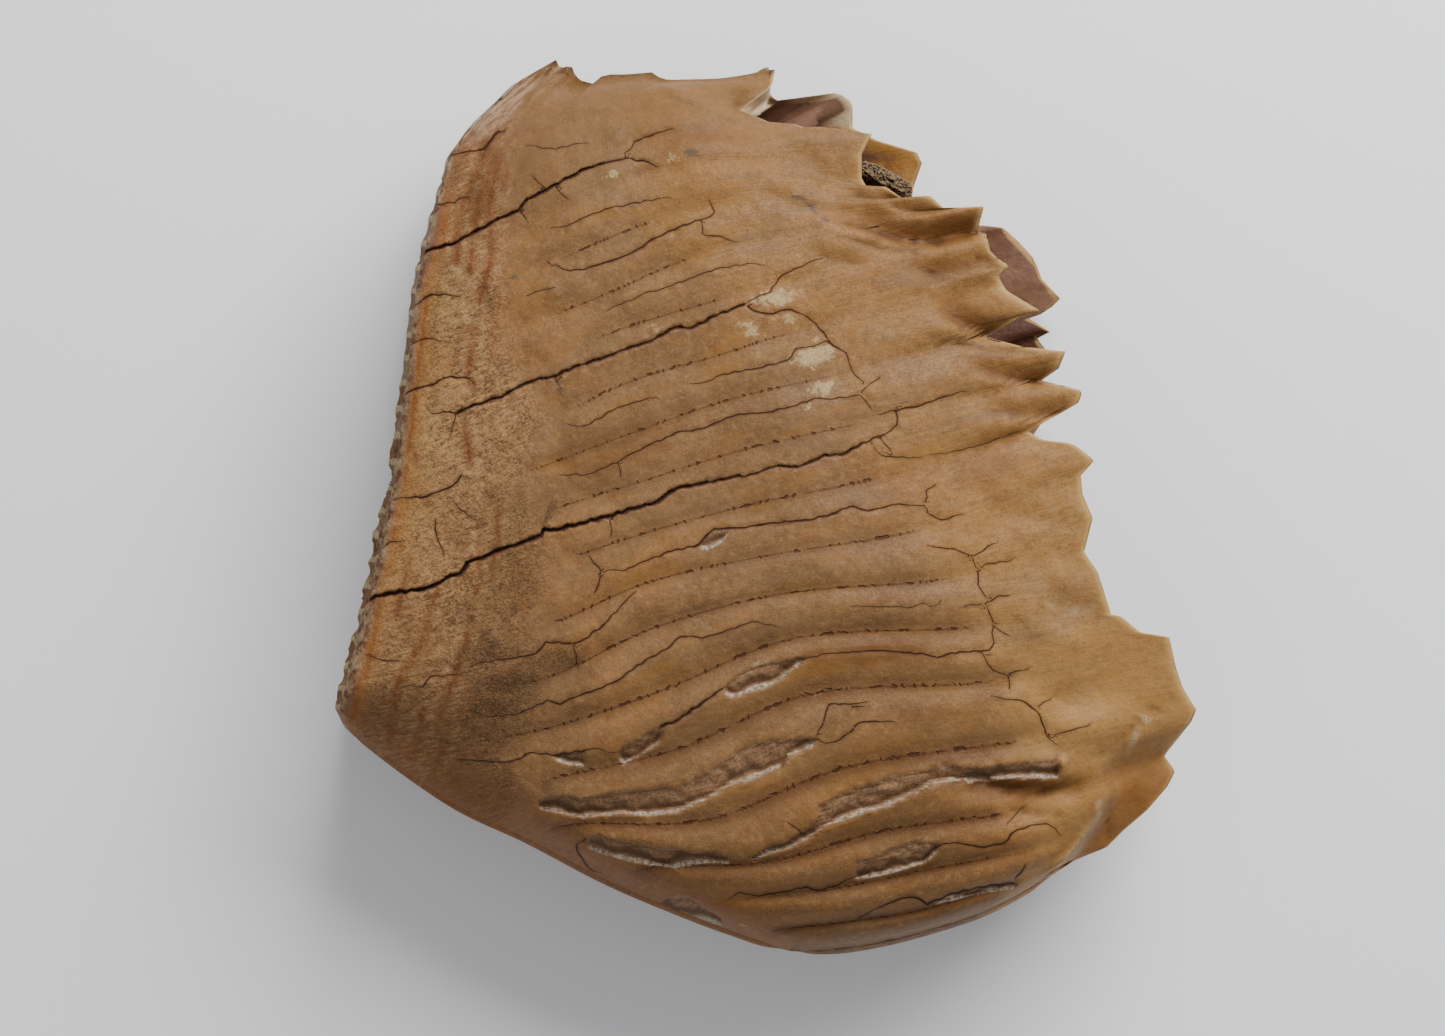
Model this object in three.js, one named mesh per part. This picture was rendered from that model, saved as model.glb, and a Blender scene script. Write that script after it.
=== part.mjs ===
// A woolly mammoth's cheek tooth, lying on its flat side, with a scrap of jaw bone caught in its open root.
//
// The tooth is a stack of upright plates grown together. Three coordinates follow the stack:
//   plate  0 at the front end to 19 at the back end; whole numbers are the seams between two plates
//   rise   0 at the chewing face (and at the unworn back plates' tips) to 1 at the open root's rim
//   side   -1 on the flank it lies on to 1 on the flank that faces up
// A place in plan is read from straight above, from EYE_Z over the middle of the view, at the level of
// the widest girth. What stands nearer to the eye than that is drawn in along its line of sight.
// Millimetres, +Z up, +X towards the root, +Y towards the front end.

import * as THREE from "three";
import { mergeVertices } from "three/addons/utils/BufferGeometryUtils.js";

// Driving sizes
const PLATES = 19;
const GIRTH_Z = 44; // level of the widest girth
const UPPER_HALF = 44; // from the girth up to the upper flank's highest stretch
const LOWER_HALF = 45.5; // down to the lower flank, before its lowest stretch is laid flat at z = 0
const EYE_Z = 1190;
const VIEW_CENTRE = [11.3, 2.72]; // the bounding box's centre, in the plan of the lines below

// Plate lines in plan, from the chewing face to the root: plate, then its places at the six stations.
const STATIONS = [0, 0.25, 0.42, 0.58, 0.75, 1];
const PLATE_LINES = [
  [0, [-64, 124], [-42, 129.5], [-28, 130.5], [-13, 130], [2, 130], [15, 131]],
  [0.5, [-78, 110], [-53, 119], [-34, 124], [-15, 126.5], [0, 126.5], [14, 127]],
  [1, [-82, 99.5], [-57, 112], [-36, 118.5], [-17, 121.5], [-1, 121.5], [10, 120]],
  [3, [-89.5, 70], [-58, 83.5], [-39, 95.5], [-18, 102.5], [6, 105], [44, 101]],
  [4, [-91.3, 57], [-58, 71], [-38, 80.5], [-18, 88], [10, 94], [58, 94]],
  [5, [-92.5, 43.5], [-58, 56.5], [-34, 66], [-12, 75.5], [14, 82.5], [69, 89]],
  [6, [-94.5, 28], [-57, 44], [-30, 55.5], [-6, 62.8], [20, 70], [79, 80]],
  [7, [-96, 12.5], [-55, 27], [-28, 39.8], [-2, 47.6], [24, 55.5], [86, 69]],
  [8, [-99, -1.5], [-54, 14.8], [-26, 25.2], [2, 34.8], [33, 42], [92, 55]],
  [9, [-102, -16], [-53, 1.5], [-24, 10.7], [6, 20], [40, 27.8], [98, 41]],
  [10, [-105.5, -31.5], [-53, -14.5], [-22, -4.2], [10, 4.3], [46, 11.8], [92, 25]],
  [11, [-109.5, -47], [-53, -32], [-22, -19], [12, -11.3], [56, -4], [106, 11]],
  [12, [-112, -58.5], [-54, -47.7], [-20, -32.3], [18, -22.3], [65, -18.2], [108, -9]],
  [13, [-99, -70], [-52, -62], [-17, -50.5], [21, -35.5], [71, -32.5], [115, -28]],
  [14, [-78, -84.5], [-49, -76.5], [-12, -67.6], [26, -51.8], [77, -48.5], [132, -40]],
  [15, [-57, -94.5], [-42, -90], [-4, -88.8], [36, -73.5], [86, -66], [138, -57]],
  [16, [-33, -107], [-18, -102.5], [14, -101.2], [48, -92], [90, -86], [132, -74]],
  [17, [-8, -117.5], [2, -112.5], [28, -110], [56, -104.5], [90, -97.5], [120, -88]],
  [18, [10, -124], [18, -121], [38, -118.7], [60, -115], [86, -107], [108, -97]],
  [19, [20, -127.5], [33, -127], [46, -125], [60, -121.5], [78, -115.5], [98, -104.5]],
];

// Long flakes lost from the upper flank: plate at both ends, rise at both ends, half width in plates, depth.
const FLAKE_SCARS = [
  [13.5, 13.35, 0.49, 0.61, 0.2, 1.6],
  [14.55, 14.5, 0.2, 0.57, 0.26, 2.6],
  [15.5, 15.75, 0.21, 0.43, 0.2, 1.8],
  [15.6, 15.35, 0.48, 0.86, 0.28, 3.2],
  [16.65, 16.5, 0.55, 0.67, 0.24, 1.8],
];

// The root's broken rim on the upper flank: plate and place in plan. Notches lie near whole numbers.
const UPPER_RIM = [
  [0, 15.5, 132], [0.3, 14.5, 127], [1, 5.5, 120], [1.25, 15, 116], [1.6, 21, 116], [2, 26.5, 114],
  [2.25, 31, 115], [2.5, 44, 113], [2.75, 41, 107], [3, 41, 100], [3.25, 43, 96.5], [3.5, 48, 97.5],
  [4, 55, 92.7], [4.4, 61, 95], [4.75, 65, 91.3], [5.1, 72, 91.5], [5.4, 77, 91.8], [6, 75, 84],
  [6.15, 77.5, 84.5], [6.4, 79, 78], [6.6, 84.5, 74.3], [6.85, 81.3, 71], [7.1, 83.5, 67],
  [7.5, 93.5, 61], [7.6, 90, 60.3], [8, 77.5, 53.3], [8.25, 88, 50.5], [8.5, 101, 49], [8.75, 99, 44],
  [9, 94, 40.5], [9.4, 106, 37.5], [9.55, 105, 34], [9.75, 99, 30.5], [10, 90, 25.5], [10.15, 94, 23],
  [10.35, 103, 22], [10.6, 109.5, 17], [11, 105.5, 12.5], [11.2, 106, 7], [11.5, 109, 0],
  [11.8, 107.5, -6], [12, 106.5, -10], [12.3, 110.5, -16], [13, 114.5, -28.5], [13.1, 117, -28.7],
  [13.4, 123, -33.7], [13.8, 131.5, -35], [14.3, 133.5, -44], [14.6, 135.5, -50], [15, 139.5, -56.5],
  [15.2, 138, -60], [15.8, 130, -70], [16.1, 133.3, -74.5], [16.3, 131, -79], [16.8, 125, -86],
  [17.3, 118, -92], [17.7, 113, -97], [18.2, 104, -100.5], [19, 98, -104.5],
];

// The same rim on the lower flank, which stands out past the upper one at the front plates.
const LOWER_RIM = [
  [0, 13, 128], [0.8, 14, 122], [1, 16, 121], [1.8, 34, 124], [2.05, 38, 121], [2.5, 38, 114],
  [2.75, 45, 110.5], [3.25, 57, 107], [3.5, 58.5, 104], [3.8, 56, 97], [4.5, 55, 91], [5.2, 66, 87],
  [5.9, 79, 85.5], [6.15, 82.5, 85], [6.5, 87, 81], [6.8, 91.5, 76], [7, 93.5, 70], [7.4, 99.5, 64],
  [7.6, 94, 60], [7.75, 90, 58.5], [8, 96, 54.5], [8.15, 91, 53.5], [8.35, 95, 50], [9, 88, 40],
  [9.5, 97, 33], [10, 91, 24], [10.5, 101, 18], [11, 97, 9], [11.5, 103, 1], [12, 99, -10],
  [12.5, 107, -20], [13, 106, -30], [13.6, 118, -36], [14, 119, -43], [14.6, 128, -51], [15, 127, -58],
  [15.5, 130, -64], [16, 124, -73], [16.6, 125, -83], [17, 117, -90], [17.6, 112, -95], [19, 96, -104],
];
const LOWER_RIM_REACH = 1.06; // it lies far below the girth, so it stands further out than it seems
const LOWER_RIM_TUCK = [14.5, 16.5]; // between these plates it draws back under the upper rim

// The front end's broken edge along its length: rise and place in plan.
const FRONT_EDGE = [
  [0, -65, 123], [0.06, -60, 128.6], [0.12, -54.5, 131.8], [0.168, -48.5, 135.2], [0.178, -47.8, 132],
  [0.222, -44.2, 132.7], [0.25, -42, 128.9], [0.31, -36.5, 128], [0.32, -36, 129.9], [0.42, -28, 130.6],
  [0.5, -20, 131.3], [0.515, -18.5, 129.5], [0.54, -16, 129], [0.7, -2, 129.3], [0.85, 9, 130.6],
  [1, 15.5, 132],
];
const FRONT_EDGE_PLATES = 0.6; // how far into the stack that edge is felt

// Chewing face
const WORN_PLATES = 12; // the plates before this one are worn flat
const FACE_LEAN = 0.1; // how far the face leans out, for each millimetre down
const FACE_LEAN_RISE = 0.3;
const FACE_HOLLOW = 2;
const ENAMEL_HEIGHT = 1.4;
const FRONT_BOW = -3; // how far the front end's middle stands out; less than 0 is hollow
const BACK_BOW = -1.5;

// Open root
const RIM_RISE = 0.75; // the broken rim's shape is felt from here on
const SOCKET_FLOOR = 0.8; // rise of a pulp socket's floor
const WALL_TOP = 0.93; // rise of the walls between two sockets
const ROOT_WALL_SIDE = 0.86; // the flanks' walls are the stretch outside this
const LOST_WALL = 3; // the seam whose wall is broken away, which leaves one wide socket
const SOLID_FRONT = [0.75, 1.1]; // the first socket opens between these plates

// Folds of the root on the upper flank: depth, half width above and below the line, its places in plan.
const ROOT_FOLDS = [
  [3.4, 5, 2.4, [[36, 86.5], [44, 85], [51, 82], [60, 81], [70, 82.2], [77, 84.8]]],
  [2.6, 4.2, 2.4, [[52, 74.5], [62, 71.7], [70, 72.3], [80, 75]]],
  [3, 6, 3, [[64, 61], [71, 57.5], [78, 53.5]]],
  [2.2, 3.6, 2.4, [[72, 45.5], [79, 42.5], [87, 40.6], [98, 40]]],
  [2, 4, 2.4, [[76, 31.5], [87, 30.3], [99, 30.5]]],
  [3, 2.4, 3, [[70, -78], [90, -80], [103, -79.5], [114, -75]]],
];

// Bone scrap
const BONE_CENTRE = [47, 98.6, 48];
const BONE_HALF = [10.5, 3.8, 15];
const BONE_LEAN = -0.48;

const clamp01 = (t) => Math.min(1, Math.max(0, t));
const mix = (a, b, t) => a + (b - a) * t;
const smooth = (a, b, t) => {
  const u = clamp01((t - a) / (b - a));
  return u * u * (3 - 2 * u);
};
// A quarter ellipse, from 0 at t = 0 to 1 at t = 1.
const quarter = (t) => Math.sqrt(1 - (1 - clamp01(t)) ** 2);

// Catmull-Rom through values at knots that need not be evenly spaced.
function spline(knots, values, t) {
  const last = knots.length - 1;
  let i = 0;
  while (i < last - 1 && t > knots[i + 1]) i += 1;
  const [k0, k1] = [knots[i], knots[i + 1]];
  const [v0, v1] = [values[i], values[i + 1]];
  const slope = (j) => {
    const a = Math.max(0, j - 1);
    const b = Math.min(last, j + 1);
    return (values[b] - values[a]) / (knots[b] - knots[a]);
  };
  const u = (t - k0) / (k1 - k0);
  const span = k1 - k0;
  const [u2, u3] = [u * u, u * u * u];
  return (
    (2 * u3 - 3 * u2 + 1) * v0 +
    (u3 - 2 * u2 + u) * span * slope(i) +
    (3 * u2 - 2 * u3) * v1 +
    (u3 - u2) * span * slope(i + 1)
  );
}

// The place along a broken outline, whose points each start with their own coordinate.
function outline(points, t) {
  let i = 0;
  while (i < points.length - 2 && t > points[i + 1][0]) i += 1;
  const [t0, x0, y0] = points[i];
  const [t1, x1, y1] = points[i + 1];
  const u = clamp01((t - t0) / (t1 - t0));
  return [mix(x0, x1, u), mix(y0, y1, u)];
}

// The plate lines' smooth net in plan.
const LINE_PLATES = PLATE_LINES.map((line) => line[0]);
function net(plate, rise) {
  return [0, 1].map((axis) => {
    const column = PLATE_LINES.map((line) => spline(STATIONS, line.slice(1).map((place) => place[axis]), rise));
    return spline(LINE_PLATES, column, plate);
  });
}

// Plan with the broken rim and front edge, before any drawing in.
function plan(plate, rise, side) {
  const place = net(plate, rise);
  const rimShare = smooth(RIM_RISE, 1, rise);
  if (rimShare > 0) {
    const base = net(plate, 1);
    const upper = outline(UPPER_RIM, plate);
    const reach = mix(LOWER_RIM_REACH, 1, smooth(...LOWER_RIM_TUCK, plate));
    const lower = outline(LOWER_RIM, plate).map((v) => v * reach);
    const [up, down] = [Math.max(0, side) ** 2, Math.max(0, -side) ** 2];
    for (const axis of [0, 1]) {
      place[axis] += rimShare * (up * (upper[axis] - base[axis]) + down * (lower[axis] - base[axis]));
    }
  }
  const frontShare = (1 - clamp01(plate / FRONT_EDGE_PLATES)) ** 2 * (1 - rimShare);
  if (frontShare > 0) {
    const base = net(0, rise);
    const edge = outline(FRONT_EDGE, rise);
    for (const axis of [0, 1]) place[axis] += frontShare * (edge[axis] - base[axis]);
  }
  return place;
}

// Share of the half thickness: rounded at the front and back ends, and at the unworn plates' tips.
function fullness(plate, rise) {
  const front = mix(0.42, 1, quarter(plate / 4));
  const back = mix(0.22, 1, quarter((PLATES - plate) / 8));
  const wornEdge = mix(0.8, 1, quarter(rise / 0.4));
  const unwornEdge = mix(0.14, 1, quarter(rise / 0.4));
  const edge = mix(wornEdge, unwornEdge, smooth(WORN_PLATES - 1, WORN_PLATES + 1.5, plate));
  const rootShare = mix(0.3, 0.52, smooth(12, 16, plate));
  const root = 1 - rootShare * smooth(0.6, 1.05, rise);
  const crown = 1 - 0.05 * ((plate - 8.5) / 8.5) ** 2 - 0.03 * ((rise - 0.5) / 0.5) ** 2;
  return Math.min(front, back) * edge * root * crown;
}

// Height of the plates' ribs over the flank: 0 along a seam, highest along a plate's middle.
function ribs(plate, rise) {
  const across = Math.sin(Math.PI * (plate - Math.floor(plate))) - 0.6;
  const crown = smooth(0.18, 0.32, rise) * (1 - smooth(0.72, 0.86, rise));
  const crownDepth = mix(0.7, 2.3, smooth(9, 15, plate));
  const pleats = smooth(0.86, 1, rise) ** 1.5 * smooth(2.5, 4, plate) * (1 - smooth(9, 11, plate));
  const pleatDepth = 2;
  return across * (crown * crownDepth + pleats * pleatDepth);
}

// The step down from the back plates' shoulder to the root below it.
function shoulder(plate, rise) {
  return 7 * smooth(15.2, 15.9, plate) * smooth(0.865, 0.91, rise) * (1 - smooth(17.8, 18.8, plate));
}

// How deep the flake scars lie below the flank.
function scars(plate, rise) {
  let depth = 0;
  for (const [plateFrom, plateTo, riseFrom, riseTo, halfWidth, full] of FLAKE_SCARS) {
    const along = (rise - riseFrom) / (riseTo - riseFrom);
    const off = Math.abs(plate - mix(plateFrom, plateTo, clamp01(along))) / halfWidth;
    const ends = smooth(-0.08, 0.08, along) * (1 - smooth(0.92, 1.08, along));
    depth = Math.max(depth, full * ends * (1 - smooth(0.3, 1, off)));
  }
  return depth;
}

// How deep the root's folds lie at a place in plan. Each fades towards the crown.
function folds(x, y) {
  let total = 0;
  for (const [depth, above, below, line] of ROOT_FOLDS) {
    let nearest = Infinity;
    let halfWidth = above;
    for (let i = 0; i + 1 < line.length; i += 1) {
      const [[ax, ay], [bx, by]] = [line[i], line[i + 1]];
      const [runX, runY] = [bx - ax, by - ay];
      const t = clamp01(((x - ax) * runX + (y - ay) * runY) / (runX * runX + runY * runY));
      const distance = Math.hypot(x - ax - t * runX, y - ay - t * runY);
      if (distance < nearest) {
        nearest = distance;
        halfWidth = runX * (y - ay) >= runY * (x - ax) ? above : below;
      }
    }
    const [start, end] = [line[0][0], line[line.length - 1][0]];
    const fade = smooth(-0.12, 0.3, (x - start) / (end - start));
    total += depth * fade * Math.exp(-((nearest / halfWidth) ** 2));
  }
  return total;
}

const upperZ = (plate, rise) =>
  GIRTH_Z + UPPER_HALF * fullness(plate, rise) + ribs(plate, rise) - shoulder(plate, rise) - scars(plate, rise);
const lowerZ = (plate, rise) =>
  Math.max(0, GIRTH_Z - LOWER_HALF * fullness(plate, rise) - 0.6 * ribs(plate, rise));

// The tooth's own place in space for its three coordinates.
function place(plate, rise, side) {
  const [planX, planY] = plan(plate, rise, side);
  const [low, high] = [lowerZ(plate, rise), upperZ(plate, rise) - folds(planX, planY)];
  const z = mix(low, high, (side + 1) / 2);
  const drawnIn = (EYE_Z - GIRTH_Z - Math.abs(z - GIRTH_Z)) / (EYE_Z - GIRTH_Z);
  const lean = FACE_LEAN * (high - z) * (1 - smooth(0, FACE_LEAN_RISE, rise));
  const worn = 1 - smooth(WORN_PLATES - 1, WORN_PLATES + 1, plate);
  const bow = plate === 0 ? FRONT_BOW : plate === PLATES ? BACK_BOW : 0;
  const bowShare = (1 - side * side) * smooth(0, 0.2, rise) * smooth(1, 0.9, rise);
  return [
    planX * drawnIn - lean * worn - VIEW_CENTRE[0],
    planY * drawnIn + bow * bowShare - VIEW_CENTRE[1],
    z,
  ];
}

// Chewing face: two enamel ridges to each worn plate, in a face worn a little hollow.
function chewingFace(plate, side) {
  const [x, y, z] = place(plate, 0, side);
  const inside = quarter((1 - Math.abs(side)) / 0.25) * smooth(0, 0.6, plate) * smooth(0, 1, PLATES - plate);
  const worn = 1 - smooth(WORN_PLATES - 1, WORN_PLATES + 1, plate);
  const ridge = -Math.cos(4 * Math.PI * plate) * ENAMEL_HEIGHT;
  const tip = 1.6 * (1 - worn) * (1 - side * side);
  const out = inside * worn * (ridge - FACE_HOLLOW * (1 - side * side)) + tip * inside;
  return [x - out * mix(0.6, 1, worn), y - out * mix(0.8, 0.1, worn), z];
}

// Open root: a pulp socket inside each plate, with a wall to the next one along each seam.
function openRoot(plate, side) {
  const lost = Math.abs(plate - LOST_WALL) < 0.5;
  const across = lost ? 1 : Math.sin(Math.PI * (plate - Math.floor(plate))) ** 2;
  const ends = smooth(...SOLID_FRONT, plate) * smooth(0, 0.4, PLATES - plate);
  const within = smooth(1, ROOT_WALL_SIDE, Math.abs(side)) * ends;
  const floor = mix(WALL_TOP, SOCKET_FLOOR, smooth(0.2, 0.6, across));
  const [x, y, z] = place(plate, mix(1, floor, within), side);
  const wallThickness = mix(1.2, 4, smooth(13.5, 15, plate));
  return [x, y, z - within * smooth(0, 0.6, side) * wallThickness];
}

// A face of the tooth as a grid of points, two triangles to a cell. Turned says which way it faces.
function face(rows, columns, point, turned) {
  const corners = rows.map((r) => columns.map((c) => new THREE.Vector3(...point(r, c))));
  const positions = [];
  const triangle = (...points) => {
    const order = turned ? points.reverse() : points;
    for (const p of order) positions.push(p.x, p.y, p.z);
  };
  for (let i = 0; i + 1 < rows.length; i += 1) {
    for (let j = 0; j + 1 < columns.length; j += 1) {
      const [a, b] = [corners[i][j], corners[i + 1][j]];
      const [c, d] = [corners[i + 1][j + 1], corners[i][j + 1]];
      if (a.distanceTo(c) < b.distanceTo(d)) {
        triangle(a, b, c);
        triangle(a, c, d);
      } else {
        triangle(a, b, d);
        triangle(b, c, d);
      }
    }
  }
  return positions;
}

function closedGeometry(positions) {
  const loose = new THREE.BufferGeometry();
  loose.setAttribute("position", new THREE.Float32BufferAttribute(positions, 3));
  return mergeVertices(loose, 1e-3);
}

function toothGeometry() {
  const SCARRED = 13; // the plates from here on carry the flake scars and are cut finer
  const plates = [];
  for (let p = 0; p < SCARRED; p += 1 / 4) plates.push(p);
  for (let p = SCARRED * 6; p <= PLATES * 6; p += 1) plates.push(p / 6);
  const rises = [
    0, 0.06, 0.12, 0.168, 0.18, 0.25, 0.31, 0.38, 0.45, 0.52, 0.59, 0.66, 0.73, 0.79, 0.84, 0.88, 0.92, 0.96, 1,
  ];
  const sides = [-1, -0.94, ROOT_WALL_SIDE * -1, -0.4, 0.4, ROOT_WALL_SIDE, 0.94, 1];
  return closedGeometry([
    ...face(plates, rises, (p, r) => place(p, r, 1), false),
    ...face(plates, rises, (p, r) => place(p, r, -1), true),
    ...face(rises, sides, (r, s) => place(0, r, s), true),
    ...face(rises, sides, (r, s) => place(PLATES, r, s), false),
    ...face(plates, sides, chewingFace, false),
    ...face(plates, sides, openRoot, true),
  ]);
}

// A lumpy scrap of spongy bone.
function boneGeometry() {
  const ball = new THREE.SphereGeometry(1, 16, 12);
  ball.deleteAttribute("normal");
  ball.deleteAttribute("uv");
  const place = ball.getAttribute("position");
  for (let i = 0; i < place.count; i += 1) {
    const v = new THREE.Vector3().fromBufferAttribute(place, i);
    const lump = 1 + 0.07 * Math.sin(7 * v.x + 2 * v.y) + 0.06 * Math.sin(6 * v.z - 5 * v.y);
    const box = 1 / Math.max(Math.abs(v.x), Math.abs(v.y), Math.abs(v.z)) ** 0.35;
    v.multiplyScalar(lump * box * 0.86);
    place.setXYZ(i, v.x * BONE_HALF[0], v.y * BONE_HALF[1], v.z * BONE_HALF[2]);
  }
  return mergeVertices(ball, 1e-3);
}

const fossil = new THREE.MeshStandardMaterial({ color: 0xa9793f, roughness: 0.62, metalness: 0 });
const spongyBone = new THREE.MeshStandardMaterial({ color: 0x5d4a38, roughness: 0.95, metalness: 0 });

const molar = new THREE.Mesh(toothGeometry(), fossil);
molar.name = "molar";

const boneScrap = new THREE.Mesh(boneGeometry(), spongyBone);
boneScrap.name = "bone_scrap";
boneScrap.position.set(BONE_CENTRE[0] - VIEW_CENTRE[0], BONE_CENTRE[1] - VIEW_CENTRE[1], BONE_CENTRE[2]);
boneScrap.rotation.z = BONE_LEAN;

const tooth = new THREE.Group();
tooth.add(molar, boneScrap);

export default tooth;
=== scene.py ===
import math
from types import SimpleNamespace

import bpy
import numpy as np
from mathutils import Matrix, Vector


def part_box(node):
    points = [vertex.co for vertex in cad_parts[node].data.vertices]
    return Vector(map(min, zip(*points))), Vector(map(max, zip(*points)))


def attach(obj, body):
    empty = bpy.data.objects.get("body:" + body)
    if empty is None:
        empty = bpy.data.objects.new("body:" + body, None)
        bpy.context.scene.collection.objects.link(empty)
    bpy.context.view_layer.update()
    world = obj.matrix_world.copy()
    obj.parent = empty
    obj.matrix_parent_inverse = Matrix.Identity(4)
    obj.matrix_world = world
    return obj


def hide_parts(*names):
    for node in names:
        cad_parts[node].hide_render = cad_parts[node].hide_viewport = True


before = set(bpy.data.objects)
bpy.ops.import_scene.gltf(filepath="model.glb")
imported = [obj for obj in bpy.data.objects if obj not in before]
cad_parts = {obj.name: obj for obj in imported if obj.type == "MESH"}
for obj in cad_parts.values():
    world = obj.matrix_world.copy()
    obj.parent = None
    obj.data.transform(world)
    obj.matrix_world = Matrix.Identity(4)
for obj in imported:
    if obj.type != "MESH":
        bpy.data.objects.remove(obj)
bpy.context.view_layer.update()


def numbers(text, columns=None):
    """Numbers parted by spaces, commas or semicolons, in rows of so many columns where that is given."""
    values = np.array(text.replace(",", " ").replace(";", " ").split(), float)
    return values if columns is None else values.reshape(-1, columns)


def rows(text):
    """Rows of uneven length, each ended by a semicolon."""
    return [numbers(row) for row in text.split(";") if row.strip()]


# The shape as the CAD has it, in millimetres. Places in plan are x,y: +X to the root, +Y to the front end.
PLATES = 19
GIRTH_Z, UPPER_HALF, LOWER_HALF = 44.0, 44.0, 45.5
# The outlines were traced as seen from this high up, and a place off the girth is drawn in to match.
EYE_Z = 1190.0
CENTRE = np.array([11.3, 2.72])

# A plate's number, then its places at the stations of rise from the chewing face (0) to the root's rim (1).
STATIONS = [0, 0.25, 0.42, 0.58, 0.75, 1]
LINES = numbers("""
0 -64,124 -42,129.5 -28,130.5 -13,130 2,130 15,131
0.5 -78,110 -53,119 -34,124 -15,126.5 0,126.5 14,127
1 -82,99.5 -57,112 -36,118.5 -17,121.5 -1,121.5 10,120
3 -89.5,70 -58,83.5 -39,95.5 -18,102.5 6,105 44,101
4 -91.3,57 -58,71 -38,80.5 -18,88 10,94 58,94
5 -92.5,43.5 -58,56.5 -34,66 -12,75.5 14,82.5 69,89
6 -94.5,28 -57,44 -30,55.5 -6,62.8 20,70 79,80
7 -96,12.5 -55,27 -28,39.8 -2,47.6 24,55.5 86,69
8 -99,-1.5 -54,14.8 -26,25.2 2,34.8 33,42 92,55
9 -102,-16 -53,1.5 -24,10.7 6,20 40,27.8 98,41
10 -105.5,-31.5 -53,-14.5 -22,-4.2 10,4.3 46,11.8 92,25
11 -109.5,-47 -53,-32 -22,-19 12,-11.3 56,-4 106,11
12 -112,-58.5 -54,-47.7 -20,-32.3 18,-22.3 65,-18.2 108,-9
13 -99,-70 -52,-62 -17,-50.5 21,-35.5 71,-32.5 115,-28
14 -78,-84.5 -49,-76.5 -12,-67.6 26,-51.8 77,-48.5 132,-40
15 -57,-94.5 -42,-90 -4,-88.8 36,-73.5 86,-66 138,-57
16 -33,-107 -18,-102.5 14,-101.2 48,-92 90,-86 132,-74
17 -8,-117.5 2,-112.5 28,-110 56,-104.5 90,-97.5 120,-88
18 10,-124 18,-121 38,-118.7 60,-115 86,-107 108,-97
19 20,-127.5 33,-127 46,-125 60,-121.5 78,-115.5 98,-104.5
""", 13)
LINE_PLATES, NET = LINES[:, 0], LINES[:, 1:].reshape(-1, len(STATIONS), 2)

# The broken rims of the root on the two flanks: plate, then place.
UPPER_RIM = numbers("""
0 15.5,132; 0.3 14.5,127; 1 5.5,120; 1.25 15,116; 1.6 21,116; 2 26.5,114; 2.25 31,115; 2.5 44,113; 2.75
41,107; 3 41,100; 3.25 43,96.5; 3.5 48,97.5; 4 55,92.7; 4.4 61,95; 4.75 65,91.3; 5.1 72,91.5; 5.4 77,91.8;
6 75,84; 6.15 77.5,84.5; 6.4 79,78; 6.6 84.5,74.3; 6.85 81.3,71; 7.1 83.5,67; 7.5 93.5,61; 7.6 90,60.3; 8
77.5,53.3; 8.25 88,50.5; 8.5 101,49; 8.75 99,44; 9 94,40.5; 9.4 106,37.5; 9.55 105,34; 9.75 99,30.5; 10
90,25.5; 10.15 94,23; 10.35 103,22; 10.6 109.5,17; 11 105.5,12.5; 11.2 106,7; 11.5 109,0; 11.8 107.5,-6;
12 106.5,-10; 12.3 110.5,-16; 13 114.5,-28.5; 13.1 117,-28.7; 13.4 123,-33.7; 13.8 131.5,-35; 14.3
133.5,-44; 14.6 135.5,-50; 15 139.5,-56.5; 15.2 138,-60; 15.8 130,-70; 16.1 133.3,-74.5; 16.3 131,-79;
16.8 125,-86; 17.3 118,-92; 17.7 113,-97; 18.2 104,-100.5; 19 98,-104.5
""", 3)
LOWER_RIM = numbers("""
0 13,128; 0.8 14,122; 1 16,121; 1.8 34,124; 2.05 38,121; 2.5 38,114; 2.75 45,110.5; 3.25 57,107; 3.5
58.5,104; 3.8 56,97; 4.5 55,91; 5.2 66,87; 5.9 79,85.5; 6.15 82.5,85; 6.5 87,81; 6.8 91.5,76; 7 93.5,70;
7.4 99.5,64; 7.6 94,60; 7.75 90,58.5; 8 96,54.5; 8.15 91,53.5; 8.35 95,50; 9 88,40; 9.5 97,33; 10 91,24;
10.5 101,18; 11 97,9; 11.5 103,1; 12 99,-10; 12.5 107,-20; 13 106,-30; 13.6 118,-36; 14 119,-43; 14.6
128,-51; 15 127,-58; 15.5 130,-64; 16 124,-73; 16.6 125,-83; 17 117,-90; 17.6 112,-95; 19 96,-104
""", 3)
# The lower rim lies far below the girth, so it stands further out than it seems, but for the back plates.
LOWER_RIM_REACH, LOWER_RIM_TUCK = 1.06, (14.5, 16.5)

# The jagged front edge: rise, then place.
FRONT_EDGE = numbers("""
0 -65,123; 0.06 -60,128.6; 0.12 -54.5,131.8; 0.168 -48.5,135.2; 0.178 -47.8,132; 0.192 -46.4,133; 0.222
-44.2,132.7; 0.23 -43.7,131; 0.25 -42,128.9; 0.29 -38,127.8; 0.31 -36.5,128; 0.32 -36,129.9; 0.36
-33,130.6; 0.42 -28,130.6; 0.5 -20,131.3; 0.515 -18.5,129.5; 0.54 -16,129; 0.7 -2,129.3; 0.85 9,130.6; 1
15.5,132
""", 3)

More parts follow.
